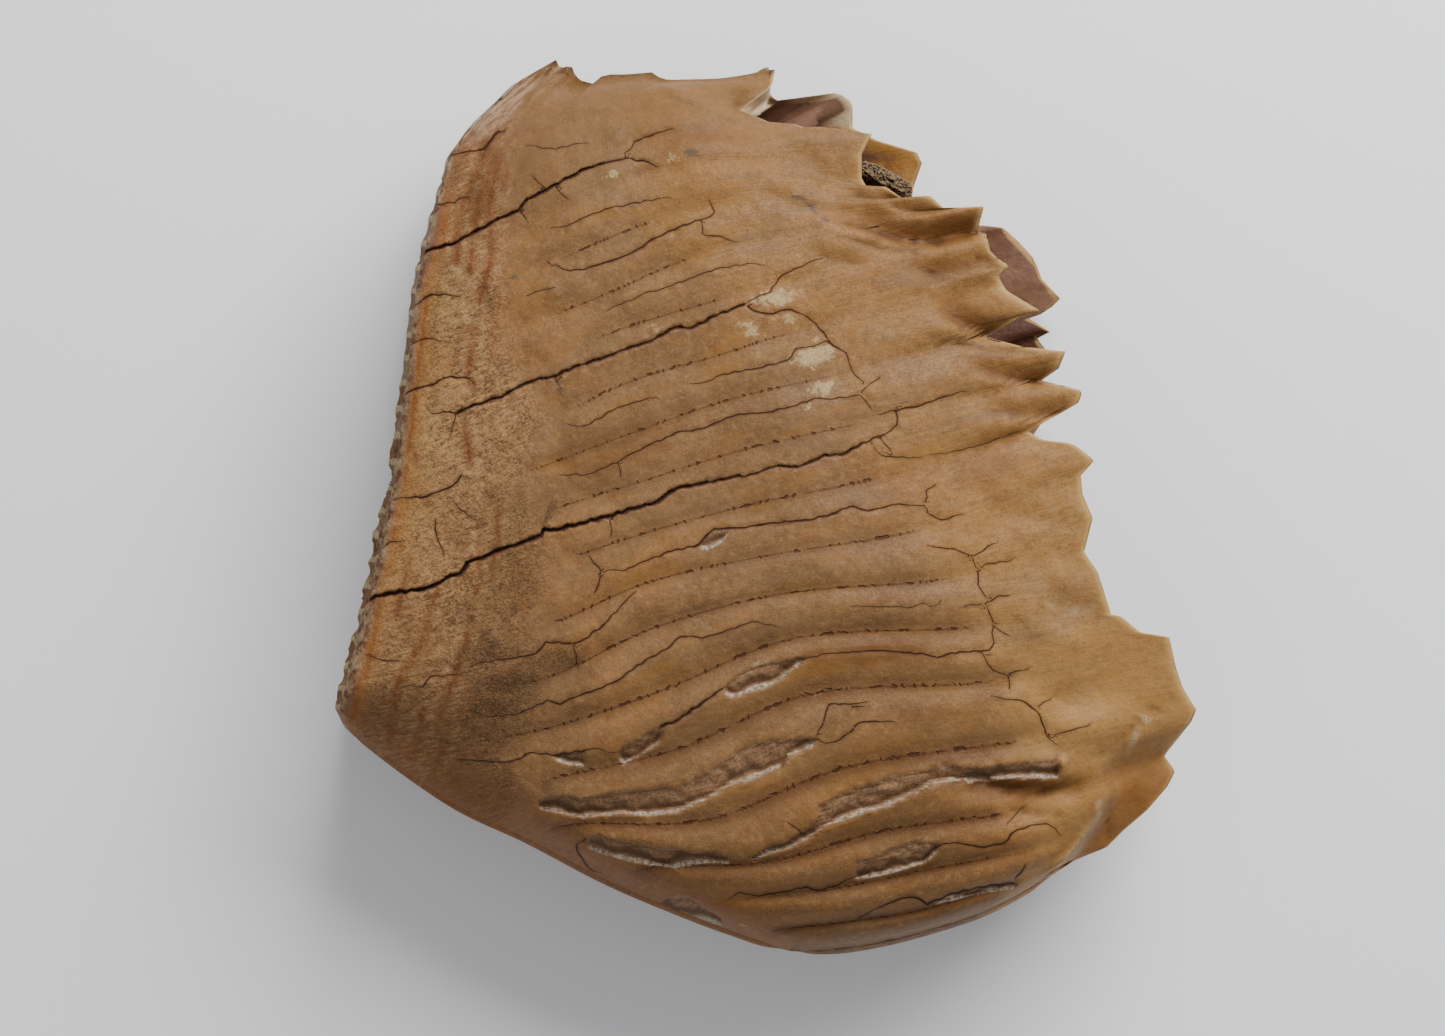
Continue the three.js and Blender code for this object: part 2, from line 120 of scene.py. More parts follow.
# Plates from the front end that are worn down on the chewing face.
WORN = 12
CHEWING_EDGE = numbers("""
-66,142 -78,110 -82,99.5 -89.5,70 -91.3,57 -92.5,43.5 -94.5,28 -96,12.5 -99,-1.5 -102,-16 -105.5,-31.5
-109.5,-47 -112,-58.5 -124,-104
""", 2)
TIP_EDGE = numbers("-112,-58.5 -99,-70 -78,-84.5 -57,-94.5 -33,-107 -8,-117.5 10,-124", 2)
SLANT_EDGE = numbers("-79.5,106.5 -69.5,118.5 -60,129 -48.5,134.8", 2)
# Where the root begins, as a rise at each plate.
ROOT_LINE = numbers("0,0.5 4,0.55 5,0.57 6,0.6 7,0.72 8,0.75 19,0.74", 2)
# How far the rough band beside the chewing face reaches, as an x at each y.
ROUGH_LIMIT = numbers("-85,-57 -60,-52 -30,-50 0,-50 30,-52 60,-60 80,-62 112,-60 135,-58", 2)

# Seams seen between the plates of the upper flank: plate, first and last x, how dark the band round it is.
SEAMS = numbers("""
4 -44 -22 0.2; 5 -47 -12 0.25; 6 -35 -2.5 0.2; 7 -41.5 18.5 0.3; 8 -54 30 0.3; 9 -49 38 0.35; 10 -42 44
0.4; 11 -49 54.5 0.45; 12 -56 64 0.5; 13 -62 71 0.5; 14 -52 77 0.5; 15 -50 85 0.65; 16 -25 81 1; 17 28 80
0.5; 18 15 83 0.8
""", 4)

# Growth lines of the rough band.
GROWTH = rows("""
-66,115 -68.7,110.6 -72.2,102.4 -74.4,96.5 -77.3,90.6 -77.7,83.2 -78.4,75.9; -57,118 -61.3,113.4 -64.2,109
-66.4,102.4 -68.6,93.5 -68.2,84.7 -67.9,78 -69.7,70 -71.5,64; -47,124 -52,118 -59,112.6 -62.8,103.8
-65,96.5; -83.8,-22.6 -86,-27 -87.5,-33.5 -89.7,-39.4 -93.4,-44.7 -95.6,-48.2 -96.3,-55.6 -97.2,-61.5
-98.1,-67.4; -71.3,-6.5 -72,-12.4 -71.3,-18.2 -74.3,-25.6 -74.3,-30 -75.7,-37.4 -78.7,-46.2 -80.9,-52
-84,-62; -101,-23 -102.2,-30 -103,-37.4 -105,-46; -75.7,28.8 -75.4,24.4 -74.3,15.6; -62.2,36.2 -61.8,31.8;
-88,-56 -89,-64 -92,-71; -60,114 -64.8,109 -68,102.6 -71.2,96.3 -73,87.5 -73.7,79.9 -74.5,72; -50,115
-57,107.5 -60.5,99 -61.5,90 -62,82; -73,56 -74,47 -74.6,40; -66,2 -66.5,-8 -68,-17; -80,-60 -83,-70
-86,-78; -92,-12 -94.5,-22 -97,-31
""")

# Folds of the root: depth, half width above and below the line, how strong their painted shade and brown tint
# are, then places from left to right.
FOLDS = rows("""
4.4 6 0.9 1.1 34,87 44,85 48,83.2 51,82 55,81.6 60,81 64,81.3 70,82.2 76,84.5;
1.1 1.4 0.8 0.6 34,83 44,80 48,79 52,78.7 56,78.8 60,79.3 64,80;
3.2 4.5 0.9 1.1 52,74.5 55,73.5 58,72.3 62,71.7 66,71.7 70,72.3 75,73.6 80,75;
0.8 1.2 0.8 0.5 52,70.5 55,69.5 60,69 65,70 70,71;
1 2 2 0.2 24,79 32,76 44,74;
3.2 5.5 2 1.1 64,61 67,59.5 71,57.5 74,56 78,53.5;
0.9 1.2 0.8 0.5 60,53.5 66,51.8 72,50.8 78,49.9 86,49.6;
3 3.8 0.9 1 72,45.8 76,44.2 79,42.6 83,41.3 87,40.6 92,40 98,40;
0.7 1.2 0.8 0.5 70,40.5 73,42.7 75.5,43.6;
2 4 1.2 0.7 76,31.5 82,30.7 87,30.3 93,30.3 99,30.5;
0.9 3 3 0 14,111 24,106 32,98 40,94;
1 2.4 1.2 0.2 8,99 20,92 30,90.5 38,90;
1.2 3 1 0.5 46,96 50,92 54,90.5 60,90;
-1.6 1.4 1.4 0 -20,128 -10,124 -3,120 4,118;
1.2 2.5 4 0 -14,129 -4,126 6,124;
4.4 2.4 3.2 1.1 66,-77.5 76,-78.5 85,-79.5 95,-80.5 103,-79.5 110,-77.5;
-2.2 2.2 2.2 0 90,-74 98,-72.5 104,-72;
-2.6 1.3 1 0 94,-105.5 98,-103 103,-98.5 106,-95 110.5,-88.5 110.5,-84.5 109.5,-80;
1.4 2.2 2.2 0.15 112,-92 114,-86 115,-80;
1.6 4 6 0.4 84,-86 94,-87 103,-88;
-1.3 4 4 0 96,-16 106,-20;
1.1 3 3 0.2 80,2 92,0 102,-2;
-1.4 5 5 0 86,-28 98,-34 110,-38;
1.5 4 4 0.1 92,-52 104,-53 114,-50;
-1.6 4.5 4.5 0 96,-62 108,-62 118,-60;
0.8 1 1 0.4 108,-71 116,-66 124,-58 132,-54;
""")

# Drying cracks on the upper flank: full width, depth, then places.
CRACKS = rows("""
0.9 1.2 -79.5,106.8 -75,107.8 -70,108.5 -69,110 -67.3,112.3 -66.3,113.7 -64.5,113.5 -63.5,115; 0.6 0.8
-86,89 -84.5,92.3 -79,92.7 -77.5,94 -75.5,94.5; 0.35 0.4 -57,109.7 -53,108.7 -49,108.5 -44,110 -40,110.3;
1.25 2.6 -88.5,77 -87,78.5 -83,79.5 -78,81.2 -74,83.5 -70,85.5 -66,88 -60,90.3 -59,92 -57.5,93.8 -54,95.5
-50,97.7 -45,100.2 -40,102.8 -35,104.3 -28.5,105.8; 0.7 1.2 -28.5,105.8 -22,104.7 -19.7,103.5; 0.5 0.6
-28.5,105.8 -28.8,107.5 -27,108.5 -26,110.7 -20,113 -15,114.5; 0.4 0.5 -55.5,100 -54,98.5 -52,97; 0.4 0.5
-49,97.3 -46,94.2; 0.5 0.5 -60,90.3 -57.7,87.7; 0.45 0.6 -50,85.5 -46,85.8 -43,87.2 -40,88.7 -36,90
-33,91.2 -28,92.2 -19,94 -15.8,94.2; 0.75 1 -51.5,75.5 -50.5,74.2 -49,74.5 -47,73.2 -45,72.7 -41,73
-37,74.3 -33,75.5 -29,77 -25,79 -20,82.3 -16,84.3 -12,86 -6,87.8 -3.5,88.7 -2.3,90 -3.7,93; 0.5 0.6
-6.3,87.3 -5.8,85.5 -6,83.3 0,82.7 4,81.2; 0.35 0.4 -57,65.6 -53,67 -50,67.7; 0.4 0.5 -33.5,61.3 -30,62.8
-25,65 -23,66.2 -18,67.3 -10,70.3 -5,72.3 0,73.7 9,75 12,74.3; 0.7 0.9 -90.5,62.5 -88,64.5 -85.5,65.8
-80,65.5 -77.5,65; 0.5 0.6 -91,51.5 -89,52.3 -85,52.7 -83,51.8; 0.8 1.1 -97,34 -94.5,35.5 -92.5,37
-89,38.3 -85,39.3 -82.5,41 -80,41.6 -74.5,41 -73,39.3; 0.6 0.9 -87,32.5 -85.7,30.7 -80.5,31.2 -78,30.7
-75,32.3; 1.15 2.2 -78,30.7 -75,32.3 -69,34.5 -65,35.5 -62,37.5 -58,39.5 -54,41 -50,41.5 -42,45 -38,46.3
-34,47.5 -30,49.2 -25,50.7 -21,52 -17,54.2 -14,56 -8.5,56 -2,59.5 3,61.5 6.5,62.8 9,61 12,60.2 15,60 17,61
20,61.4 23,60.2; 0.7 1 23,60.2 26,58.2 30,54.5 31,52 32.5,50.7 36.5,48.5 37.5,45; 0.35 0.4 37.5,45
38.5,42.5 41.5,40; 0.5 0.7 6.5,62.8 11,65.5 14,66.3 16.5,70.5 20,72.5 25,75 29,76.3; 0.45 0.5 -78.5,30
-79.5,27 -80,24.5; 0.4 0.4 -49.5,41 -48,38.8; 0.5 0.6 -45.5,27.5 -41,27 -35.5,29.5 -34,31 -29.5,32.8
-22,35.2 -19.5,35.3; 0.55 0.7 -8.5,39.5 -5,40 0,42.2 10,44 17,45.8 20,47 21.5,49.8 27,50.5 31,52.3; 0.65
0.9 -47,12.7 -40,12.7 -36,14.3 -31,16.3 -28,18.3 -24,20 -21,21.7 -15,24.2 -12,25.5 -9,25.5 -4,27 1,29.3
5,30.5 13,31 20,32.7 28,35.3 31,34.9 40,36 42,38.3 44,39.8 46,41; 0.4 0.4 -31,16.3 -30,13; 0.4 0.4 41,35.5
43.5,32.5; 0.8 1.1 -96.5,5.5 -92,5.8 -87,6.3 -84,7.5 -80,9 -78,10.7 -77,12.5 -75.3,12; 1.6 3.4 -105,-24.5
-102,-23 -98,-22.2 -90,-21.3 -86,-20.3 -83,-19 -80,-17 -77.5,-16.7 -76,-15 -75,-13.2 -69,-11 -65,-9.3
-59,-7.3 -53.5,-5.2 -52.5,-3.3 -49,-3.5 -42,-1.7 -34,0.3 -26,2.7 -19,4.7 -16,7.2 -13,8.8 -6,10 2,11.7
5,12.5 6,11.8 12,14 16,15.3; 1.1 2 16,15.3 22,15 26,16.5 30,18.5 35,18.5 38,20.3 46,24; 0.7 1 46,24
49,25.3 51.3,27.3 51.5,29.5 51,31.5 54,32.4 57,32.6 63,34.9 71,37.3; 0.4 0.4 51,32 46.3,30.4; 0.4 0.4
46.3,23.8 49.3,20.2; 0.45 0.5 45,20 46.5,18.5 50,18 58,17.5; 0.3 0.3 62,18.5 71,20 79,22.3 86,25.2; 0.4
0.4 -33,0.3 -32.8,-5; 0.6 0.7 -84.5,-1 -84.3,-5 -82,-10.7; 0.4 0.4 -79.5,5 -77.5,2.5 -73,-0.5; 0.5 0.5
-100.5,-9 -98,-7 -94,-6.8; 0.5 0.5 -104,-40.3 -100,-42 -96,-42; 0.85 1.2 -35.5,-16.3 -33.5,-15.3 -29,-15.7
-26,-14.3 -22,-12.5 -15,-9.8 -7,-8 -4,-4.5 -2.5,-3.3 5,-3 15,-1.5 25,-0.7 32,1 38,3.7 40,2.7 43,2 51,4
59,3.5; 0.5 0.6 59,3.5 60.2,6 59.8,8 62.5,9.5; 0.5 0.5 60,3.5 60.3,1.5 64.5,-0.7 70,1; 0.6 0.6 -35.5,-16.3
-39,-11.5; 0.6 0.6 -36,-17 -37.3,-21.5; 0.5 0.5 -93,-49.5 -88,-49.7 -86,-46.8 -79,-46.3 -75,-46.4; 0.75
0.9 -74.5,-44 -72,-42.8 -65,-41.8 -58,-40.8 -55,-40 -52,-36.5 -45,-37 -41,-36 -35,-31.5 -30,-26 -26,-22;
0.55 0.5 -44,-37 -42.5,-43.7; 0.5 0.6 60.5,-8 64,-8.7 68,-9 70,-10 74.5,-11.3; 0.5 0.6 74.8,-10.7 80,-7.5;
0.5 0.5 75.5,-16 77,-13.8 85,-12.5; 0.7 0.8 -75,-56.5 -71,-58 -68,-58.7 -60,-57.7 -56,-56 -51.7,-53.7
-48,-55 -45,-53.3 -37,-50.5 -31,-48 -28,-45.5 -21,-41 -16.5,-38.7 -12.5,-35 -9,-34.8 -6,-35.5 0,-33.7
9,-30.5 15.5,-32; 0.3 0.3 38.5,-26 50,-26.3 56,-26.3 60,-25 61.5,-26.5 64,-25; 0.6 0.7 -78,-71 -65,-72
-61,-71.3 -56,-69 -50,-70 -40,-68.3 -37,-67.8 -33,-69.3 -31,-69; 1.1 1.6 -18,-61.5 -13,-59.5 -6,-54.5
0,-50.3; 0.75 1 24,-41.5 31,-40 46,-39 60,-40.3 63,-41.2 67,-39.8 78.5,-39 80,-37 79.3,-34 79.8,-31
78,-26.5 77.5,-25.2; 0.55 0.6 77.5,-25.2 81,-23 84,-23; 0.5 0.6 78,-24 75.2,-20 75.3,-17 73.5,-11.5; 0.4
0.4 71.5,-25.8 77,-25.3; 0.4 0.4 80,-32 84,-34.5; 0.5 0.6 76.5,-40 78,-43 80,-45.2 83,-46 90,-44.5; 0.4
0.4 84,-46 84.5,-50; 0.7 0.8 28,-65 30,-66.5 33,-66 38,-63 39.5,-60.5 42,-60 50.5,-60; 0.65 0.7 27.7,-64.5
30,-59 31.5,-54.7 38,-55 42,-54.3; 0.6 0.7 19.5,-90 23,-92.5; 0.7 0.9 -40.5,-94.8 -43,-96 -42.8,-98
-41,-100.5 -39.5,-103 -36.5,-104.3; 0.6 0.7 80,-52.5 84,-53.5 88,-53.7 92,-56.5 93.5,-58 94,-60.5 96,-65
98,-66.5; 0.4 0.4 91.5,-56 96.5,-53.5; 0.5 0.5 97.5,-64 103,-62.5 108,-61; 0.6 0.7 2,-112 5,-110 10,-111.3
18,-110 25,-108.5 28,-109.7 33,-108.5 36,-106.8 43,-104.3; 0.7 0.9 60,-99.5 62,-97.5 65,-96 69,-95.6
76,-97 83,-95.7 85,-93 87,-91.7 92.5,-90.3 95.5,-90 98,-91.5 99,-93; 0.3 0.3 84,-89.7 88.5,-85; 0.8 1
40.5,-117.5 46,-114.7 52.5,-112 57,-111.7 60.3,-113.8 66,-111 74,-109 83,-107.5 86.5,-107.8; 0.7 0.9
86.5,-105.5 89,-102.5;
""")

# Long flakes lost from the upper flank: depth and upper edge, then the lower edge, both from left to right.
FLAKES = rows("""
1.2 -7.5,-8.5 -5,-5.5 -2,-3.3 2.5,-3.3;
-7.5,-8.6 -4,-8.8 0,-6.5 2.5,-3.5;
1.6 -50,-70 -40,-68.3;
-50,-70.4 -45,-72 -40,-72.2;
2 -31,-69 -26,-65.5 -20,-62.3 -17,-61;
-31,-70.6 -29,-71.6 -25,-69.6 -18,-65.3 -17,-63;
2.2 0,-50 3,-47.5 6,-45 14,-42.7 24.5,-41.2;
0,-50.8 3,-52 8,-50.6 14,-48.6 18,-46.5 21,-43.8 24.5,-41.6;
2.6 -54.5,-83.3 -46,-81.8 -42,-83 -34,-81.3 -24,-80 -13,-79 -5,-75 0,-71.5 6,-68 14,-65.8 20,-65 28,-65;
-54.5,-84.8 -45,-86.8 -41,-87.5 -30,-86.3 -22,-86.8 -13,-85.7 -5,-82.3 2,-78.2 10,-75.6 18,-72 19.3,-69.5
23,-68.2 28,-65.4;
1.8 -40.5,-94 -36,-93.3 -26,-96 -15,-97.7 -9,-99 -2,-98 3,-100;
-40.5,-96 -36,-98 -26,-100.8 -14,-102.2 -6,-100.8 3,-100.8;
2.9 7.5,-100 15,-96.4 19,-95.2 22,-93.6 25,-91.2 28,-88.3 28.5,-84.5 34,-82 41,-79 50,-76.3 60,-74 67,-72
73,-73.2 76,-73.8 85,-72.3 97,-71.3 100,-70;
7.5,-100.4 15,-97.6 20,-96.3 25,-93.6 30,-90.3 36,-88.1 42,-85.8 50,-83.5 58,-79.8 61,-77.8 68,-76.5
75,-76.8 85,-75.8 98.5,-75.8 100,-73;
2.2 38.5,-101.5 41,-100.7 50,-97.7 56,-95.2 64,-96;
38.5,-105.8 46,-104.5 54,-102.5 60,-100.6 64,-97;
1.6 62,-112.5 70,-109.7 78,-107.7 87,-106.8;
62,-113.2 70,-111.3 78,-109.4 87,-108.3;
1.8 -19,-113 -15,-111.8 -10,-111.6 -5,-114.8 1,-118;
-19,-114.5 -15,-115.5 -10,-117 -5,-118.2 1,-119.5;
""")

# Stains and worn-through spots on the upper flank: place, half lengths, turn in degrees, strength.
CREAM = numbers("""
16,65 8 3 0 1; 20,58.5 3.6 1.8 0 0.9; 8,55.5 4.5 3 -35 0.9; 27,52.5 3.5 1.8 0 0.8; 27,47.5 6.8 3.2 15 1.3;
29.5,38 4.8 2.4 20 1; 25.5,33 2.6 1.4 0 0.8; 38,38.2 3 1 20 0.7; -19.8,56 3 1.8 20 0.8; -32,101.5 3.6 2.2
40 0.8; -14.5,105.8 3.4 1.6 -10 0.7; -10,69.7 4 2 20 0.35; -5,73.5 4 1.5 10 0.35; -11.5,36.7 4 3 0 0.4;
3,103 4 1.5 -20 0.35; 10,-43.6 4.5 1.4 12 0.8; 41.5,-102.3 1.4 1.2 0 1.3; 20,-72 2 1.2 0 0.5; 48,-113.5 5
1 10 0.4; 31,20 10 5 10 0.2; 75,8 8 3 10 0.25; 102,26 6 5 0 0.3; 6,-120 3 1.6 0 0.5
""", 6)
GREY = numbers("""
-9,107.5 3.2 1.7 0 0.9; -30.5,114.5 1.6 1 0 0.7; 10,93 5 1.2 -10 0.6; 22.5,94.3 3 1 0 1; 26.5,91.5 2.6 1.1
-50 1; 30.5,88 2.6 0.9 -30 0.9; 72.5,79 1.6 1.2 0 1; 75,77 1.6 1.2 0 0.9; -61,71 2.6 1.4 0 0.7; -48,37.5 3
1.5 0 0.8; -27,24.5 3 2 0 0.3; -3,8 6 2 15 0.3; -44,-9 5 3 20 0.35; 86,37 6 1.5 10 0.4; 43,37 2 1 0 0.4;
46,-12 5 1.5 0 0.3
""", 6)
DARK = numbers("""
-62,-48.5 10 3.6 8 1; -50.8,1.5 1.3 4.6 -28 1; -60,-20 12 9 0 0.45; -60,-62 14 4 8 0.5; -72,-85 16 6 -28
0.35; -30,-75 18 3 5 0.4; -56,84 5 12 0 0.2; -72,96 3 14 -8 0.35; -69,66 5 10 10 0.5; -30,20 22 11 16 0.3;
-20,60 26 6 18 0.25; 20,-20 30 8 4 0.25; -2,-83 12 4 10 0.35; 14,-104 16 3 6 0.3; 40,-107 20 3 8 0.2;
-72,-40 13 5 10 0.7; -78,-28 9 6 20 0.55; -66,-56 12 4 4 0.7; -50,-41 8 5 15 0.75; -88,-76 14 5 -30 0.3
""", 6)
AMBER = numbers("""
84,-79 20 4 2 1; 104,-78 10 3.4 10 0.8; 30,-92 26 3 14 0.5; 60,-103 24 3 6 0.6; 100,-95 10 4 40 0.4;
69,86.5 8 3.4 6 1.2; 74,58 8 4 -25 0.9; 84,63 8 3 -25 0.3; 40,-85 22 3 12 0.35; -20,-92 20 3 2 0.35;
122,-84 8 10 40 0.62; -84,56 5 9 0 0.1; 128,-64 6 5 60 0.3; 70,-114 20 3 12 0.4; 20,-116 20 3 4 0.1;
-46,-104 16 3 -28 0.4; 46,-39 30 5 6 0.8; 60,-56 26 4 2 0.4; -10,-60 26 4 16 0.4; 2,-78 24 3 14 0.4;
-30,20 24 9 16 0.6; -20,30 30 5 16 0.3; -10,113 16 6 0 0.65; 56,82.8 14 2.2 2 0.7; 66,73.5 10 1.8 4 0.6;
-68,108 3 9 20 0.7; -74,96 2.5 12 -12 0.5; -98,-60 4 12 6 0.5; 76,14 12 6 10 0.7; 114,-91 12 9 40 0.5;
58,67 8 4 0 0.5; -56,74 8 8 0 0.3; -89,-37 7 13 4 0.6; -71,92 3.5 10 -10 0.7; -92,-52 6 8 0 0.4; 78,22 12
5 10 0.4; 60,100 8 3 -20 0.4; 105,-53 9 4 20 0.42; -54,114 7 4 0 0.35
""", 6)

# Thin crests of the root with a painted highlight, some of them pale scratches: half width, strength, then
# places.
CREST_HIGHLIGHTS_AND_SCRATCHES = rows("""
0.3 1 119.2,-68.5 122,-63.5 125,-59; 0.28 0.8 98,-104 104.6,-95.7 108,-91; 0.3 1 108.5,-90.5 110.7,-87
110.6,-83.5; 0.2 0.3 103,-55.5 107,-52.5 111,-47.5; 0.2 0.25 104.5,-52.5 108,-49.5 110.5,-46; 0.2 0.5
93,2.5 98,3.5 102,6.5; 0.2 0.5 90,-19 97,-21 102,-20; 0.25 0.6 96,-26 103,-27.5 110,-26;
""")


def mix(a, b, t):
    return a + (b - a) * t


def smooth(a, b, t):
    """Goes softly from 0 to 1 while t goes from a to b; a may be the greater of the two."""
    u = np.clip((t - a) / (b - a), 0, 1)
    return u * u * (3 - 2 * u)


def band(a, b, c, d, t):
    """1 between b and c, with a soft rise from a and a soft fall to d."""
    return smooth(a, b, t) * smooth(d, c, t)


def quarter(t):
    """The height of a quarter round at t from its foot."""
    return np.sqrt(1 - (1 - np.clip(t, 0, 1)) ** 2)


def columns(*parts):
    return np.stack(np.broadcast_arrays(*parts), -1)


def on(mask, values, blank=0):
    """The values at the places that the mask picks, and blank at the others."""
    out = np.full((len(mask),) + values.shape[1:], blank, float)
    out[mask] = values
    return out


def blobs(xy, table):
    """Soft oval spots, with the strongest one counting at each place."""
    total = np.zeros(len(xy))
    for x, y, half_x, half_y, turn, strength in table:
        c, s = math.cos(math.radians(turn)), math.sin(math.radians(turn))
        dx, dy = xy[:, 0] - x, xy[:, 1] - y
        away = ((c * dx + s * dy) / half_x) ** 2 + ((c * dy - s * dx) / half_y) ** 2
        total = np.maximum(total, strength * np.exp(-0.9 * away))
    return total


def spline(knots, values, t):
    """Catmull-Rom through values at knots that need not be evenly spaced."""
    knots, values = np.asarray(knots, float), np.asarray(values, float)
    slopes = np.empty_like(values)
    slopes[1:-1] = (values[2:] - values[:-2]) / (knots[2:] - knots[:-2])
    slopes[0] = (values[1] - values[0]) / (knots[1] - knots[0])
    slopes[-1] = (values[-1] - values[-2]) / (knots[-1] - knots[-2])
    i = np.clip(np.searchsorted(knots, t, side="left") - 1, 0, len(knots) - 2)
    span = knots[i + 1] - knots[i]
    u = (t - knots[i]) / span
    return ((2 * u**3 - 3 * u**2 + 1) * values[i] + (u**3 - 2 * u**2 + u) * span * slopes[i]
            + (3 * u**2 - 2 * u**3) * values[i + 1] + (u**3 - u**2) * span * slopes[i + 1])


def weights(knots, t):
    return np.stack([spline(knots, row, t) for row in np.eye(len(knots))], -1)


def net(plate, rise):
    """Places in plan on the traced net of plates and stations."""
    wp, wr = weights(LINE_PLATES, plate), weights(STATIONS, rise)
    return np.stack([((wp @ NET[:, :, k]) * wr).sum(-1) for k in (0, 1)], -1)


def outline(table, t):
    return np.stack([np.interp(t, table[:, 0], table[:, k]) for k in (1, 2)], -1)


def plan(plate, rise, side):
    """Places in plan, drawn to the rims of the root and to the jagged front edge."""
    place = net(plate, rise)
    rim = smooth(0.75, 1, rise)[:, None]
    base = net(plate, np.ones_like(plate))
    up, down = np.maximum(0, side)[:, None] ** 2, np.maximum(0, -side)[:, None] ** 2
    upper = outline(UPPER_RIM, plate)
    lower = outline(LOWER_RIM, plate) * mix(LOWER_RIM_REACH, 1, smooth(*LOWER_RIM_TUCK, plate))[:, None]
    place = place + rim * (up * (upper - base) + down * (lower - base))
    front = ((1 - np.clip(plate / 0.6, 0, 1)) ** 2)[:, None] * (1 - rim)
    return place + front * (outline(FRONT_EDGE, rise) - net(np.zeros_like(plate), rise))


def fullness(plate, rise):
    """How much of its full half height the tooth has at a place."""
    front = mix(0.42, 1, quarter(plate / 4))
    back = mix(0.22, 1, quarter((PLATES - plate) / 8))
    worn_edge = mix(0.8, 1, quarter(rise / 0.4))
    unworn_edge = mix(0.14, 1, quarter(rise / 0.4))
    edge = mix(worn_edge, unworn_edge, smooth(WORN - 1, WORN + 1.5, plate))
    root = 1 - mix(0.3, 0.52, smooth(12, 16, plate)) * smooth(0.6, 1.05, rise)
    crown = 1 - 0.05 * ((plate - 8.5) / 8.5) ** 2 - 0.03 * ((rise - 0.5) / 0.5) ** 2
    return np.minimum(front, back) * edge * root * crown


def ribs(plate, rise):
    """The plates' ribs on the crown and their pleats at the root's rim."""
    across = np.abs(np.sin(np.pi * plate)) - 0.6
    crown = band(0.18, 0.32, 0.72, 0.86, rise)
    pleats = smooth(0.86, 1, rise) ** 1.5 * band(2.5, 4, 9, 11, plate)
    return across * (crown * mix(0.7, 2.3, smooth(9, 15, plate)) + pleats * 2)


def shoulder(plate, rise):
    """The step down to the low shelf of root beside the back plates."""
    return 7 * smooth(15.2, 15.9, plate) * smooth(0.865, 0.91, rise) * smooth(18.8, 17.8, plate)


# Noise for the fine relief.
NOISE_TURN, NOISE_SPREAD = np.array([127.1, 311.7, 74.7]), 43758.5453


def value_noise(p, seed=0.0):
    """Soft noise from -1 to 1."""
    cell = np.floor(p)
    f = p - cell
    u = f * f * (3 - 2 * f)
    total = 0
    for corner in np.ndindex(2, 2, 2):
        h = np.sin((cell + corner) @ NOISE_TURN + seed) * NOISE_SPREAD
        total = total + np.where(corner, u, 1 - u).prod(1) * (h - np.floor(h))
    return total * 2 - 1


def fbm(p, octaves=3, seed=0.0):
    return sum(value_noise(p * 2.03**k, seed + 7.1 * k) * 0.5**k for k in range(octaves))


# Distances in plan.
def segments(points):
    p = np.reshape(points, (-1, 2))
    return p[:-1], p[1:]


def jitter(points, amount, seed):
    """Breaks a traced line into shorter, slightly uneven runs, as a crack in a grained solid has."""
    run_mm = 1.6
    a, b = segments(points)
    out = [a[0]]
    for i, (start, end) in enumerate(zip(a, b)):
        length = np.hypot(*(end - start))
        n = max(1, int(length / run_mm))
        normal = np.array([start[1] - end[1], end[0] - start[0]]) / max(1e-6, length)
        for k in range(1, n + 1):
            q = mix(start, end, k / n)
            if k < n:
                q = q + normal * amount * math.sin(12.9898 * (i + seed) + 78.233 * k + seed * seed)
            out.append(q)
    return np.array(out)


def line_distance(xy, points):
    """Distance to a line of points, and 1 where a place is on the left of its direction, else -1."""
    best, side = np.full(len(xy), 1e9), np.ones(len(xy))
    for start, end in zip(*segments(points)):
        run = end - start
        off = xy - start
        t = np.clip((off @ run) / (run @ run), 0, 1)
        distance = np.hypot(*(off - t[:, None] * run).T)
        cross = run[0] * off[:, 1] - run[1] * off[:, 0]
        side = np.where(distance < best, np.where(cross >= 0, 1, -1), side)
        best = np.minimum(best, distance)
    return best, side


def fold_fields(xy):
    """Height that the folds take off, their painted shade and the creases' darker painted shade. Each side
    has its own slope.
    """
    cut, shade, crease = np.zeros((3, len(xy)))
    for depth, above, below, dark, *points in FOLDS:
        distance, side = line_distance(xy, points)
        first, last = np.reshape(points, (-1, 2))[[0, -1]]
        span = last[0] - first[0]
        fade = smooth(-0.12 * span, 0.3 * span, xy[:, 0] - first[0])
        if line_distance(last[None], UPPER_RIM[:, 1:])[0][0] > 9:
            fade = fade * smooth(0.02 * span, -0.3 * span, xy[:, 0] - last[0])
        cut += depth * fade * np.exp(-((distance / np.where(side > 0, above, below)) ** 2))
        shaded = np.exp(-((distance / np.where(side > 0, 0.8 * above, 0.7)) ** 2))
        shade = np.maximum(shade, dark * fade * shaded)
        crease = np.maximum(crease, dark * fade * np.exp(-((distance / 0.6) ** 2)))
    return columns(cut, shade, crease)


def seam_fields(xy, plate):
    """How plainly the nearest seam shows, and how dark the band round it is."""
    nearest = np.round(plate)
    shown, dark_band = np.zeros((2, len(xy)))
    for number, first, last, dark in SEAMS:
        here = (nearest == number) * band(first - 4, first + 3, last - 1, last + 3, xy[:, 0])
        shown, dark_band = np.maximum(shown, here), np.maximum(dark_band, here * dark)
    return shown, dark_band


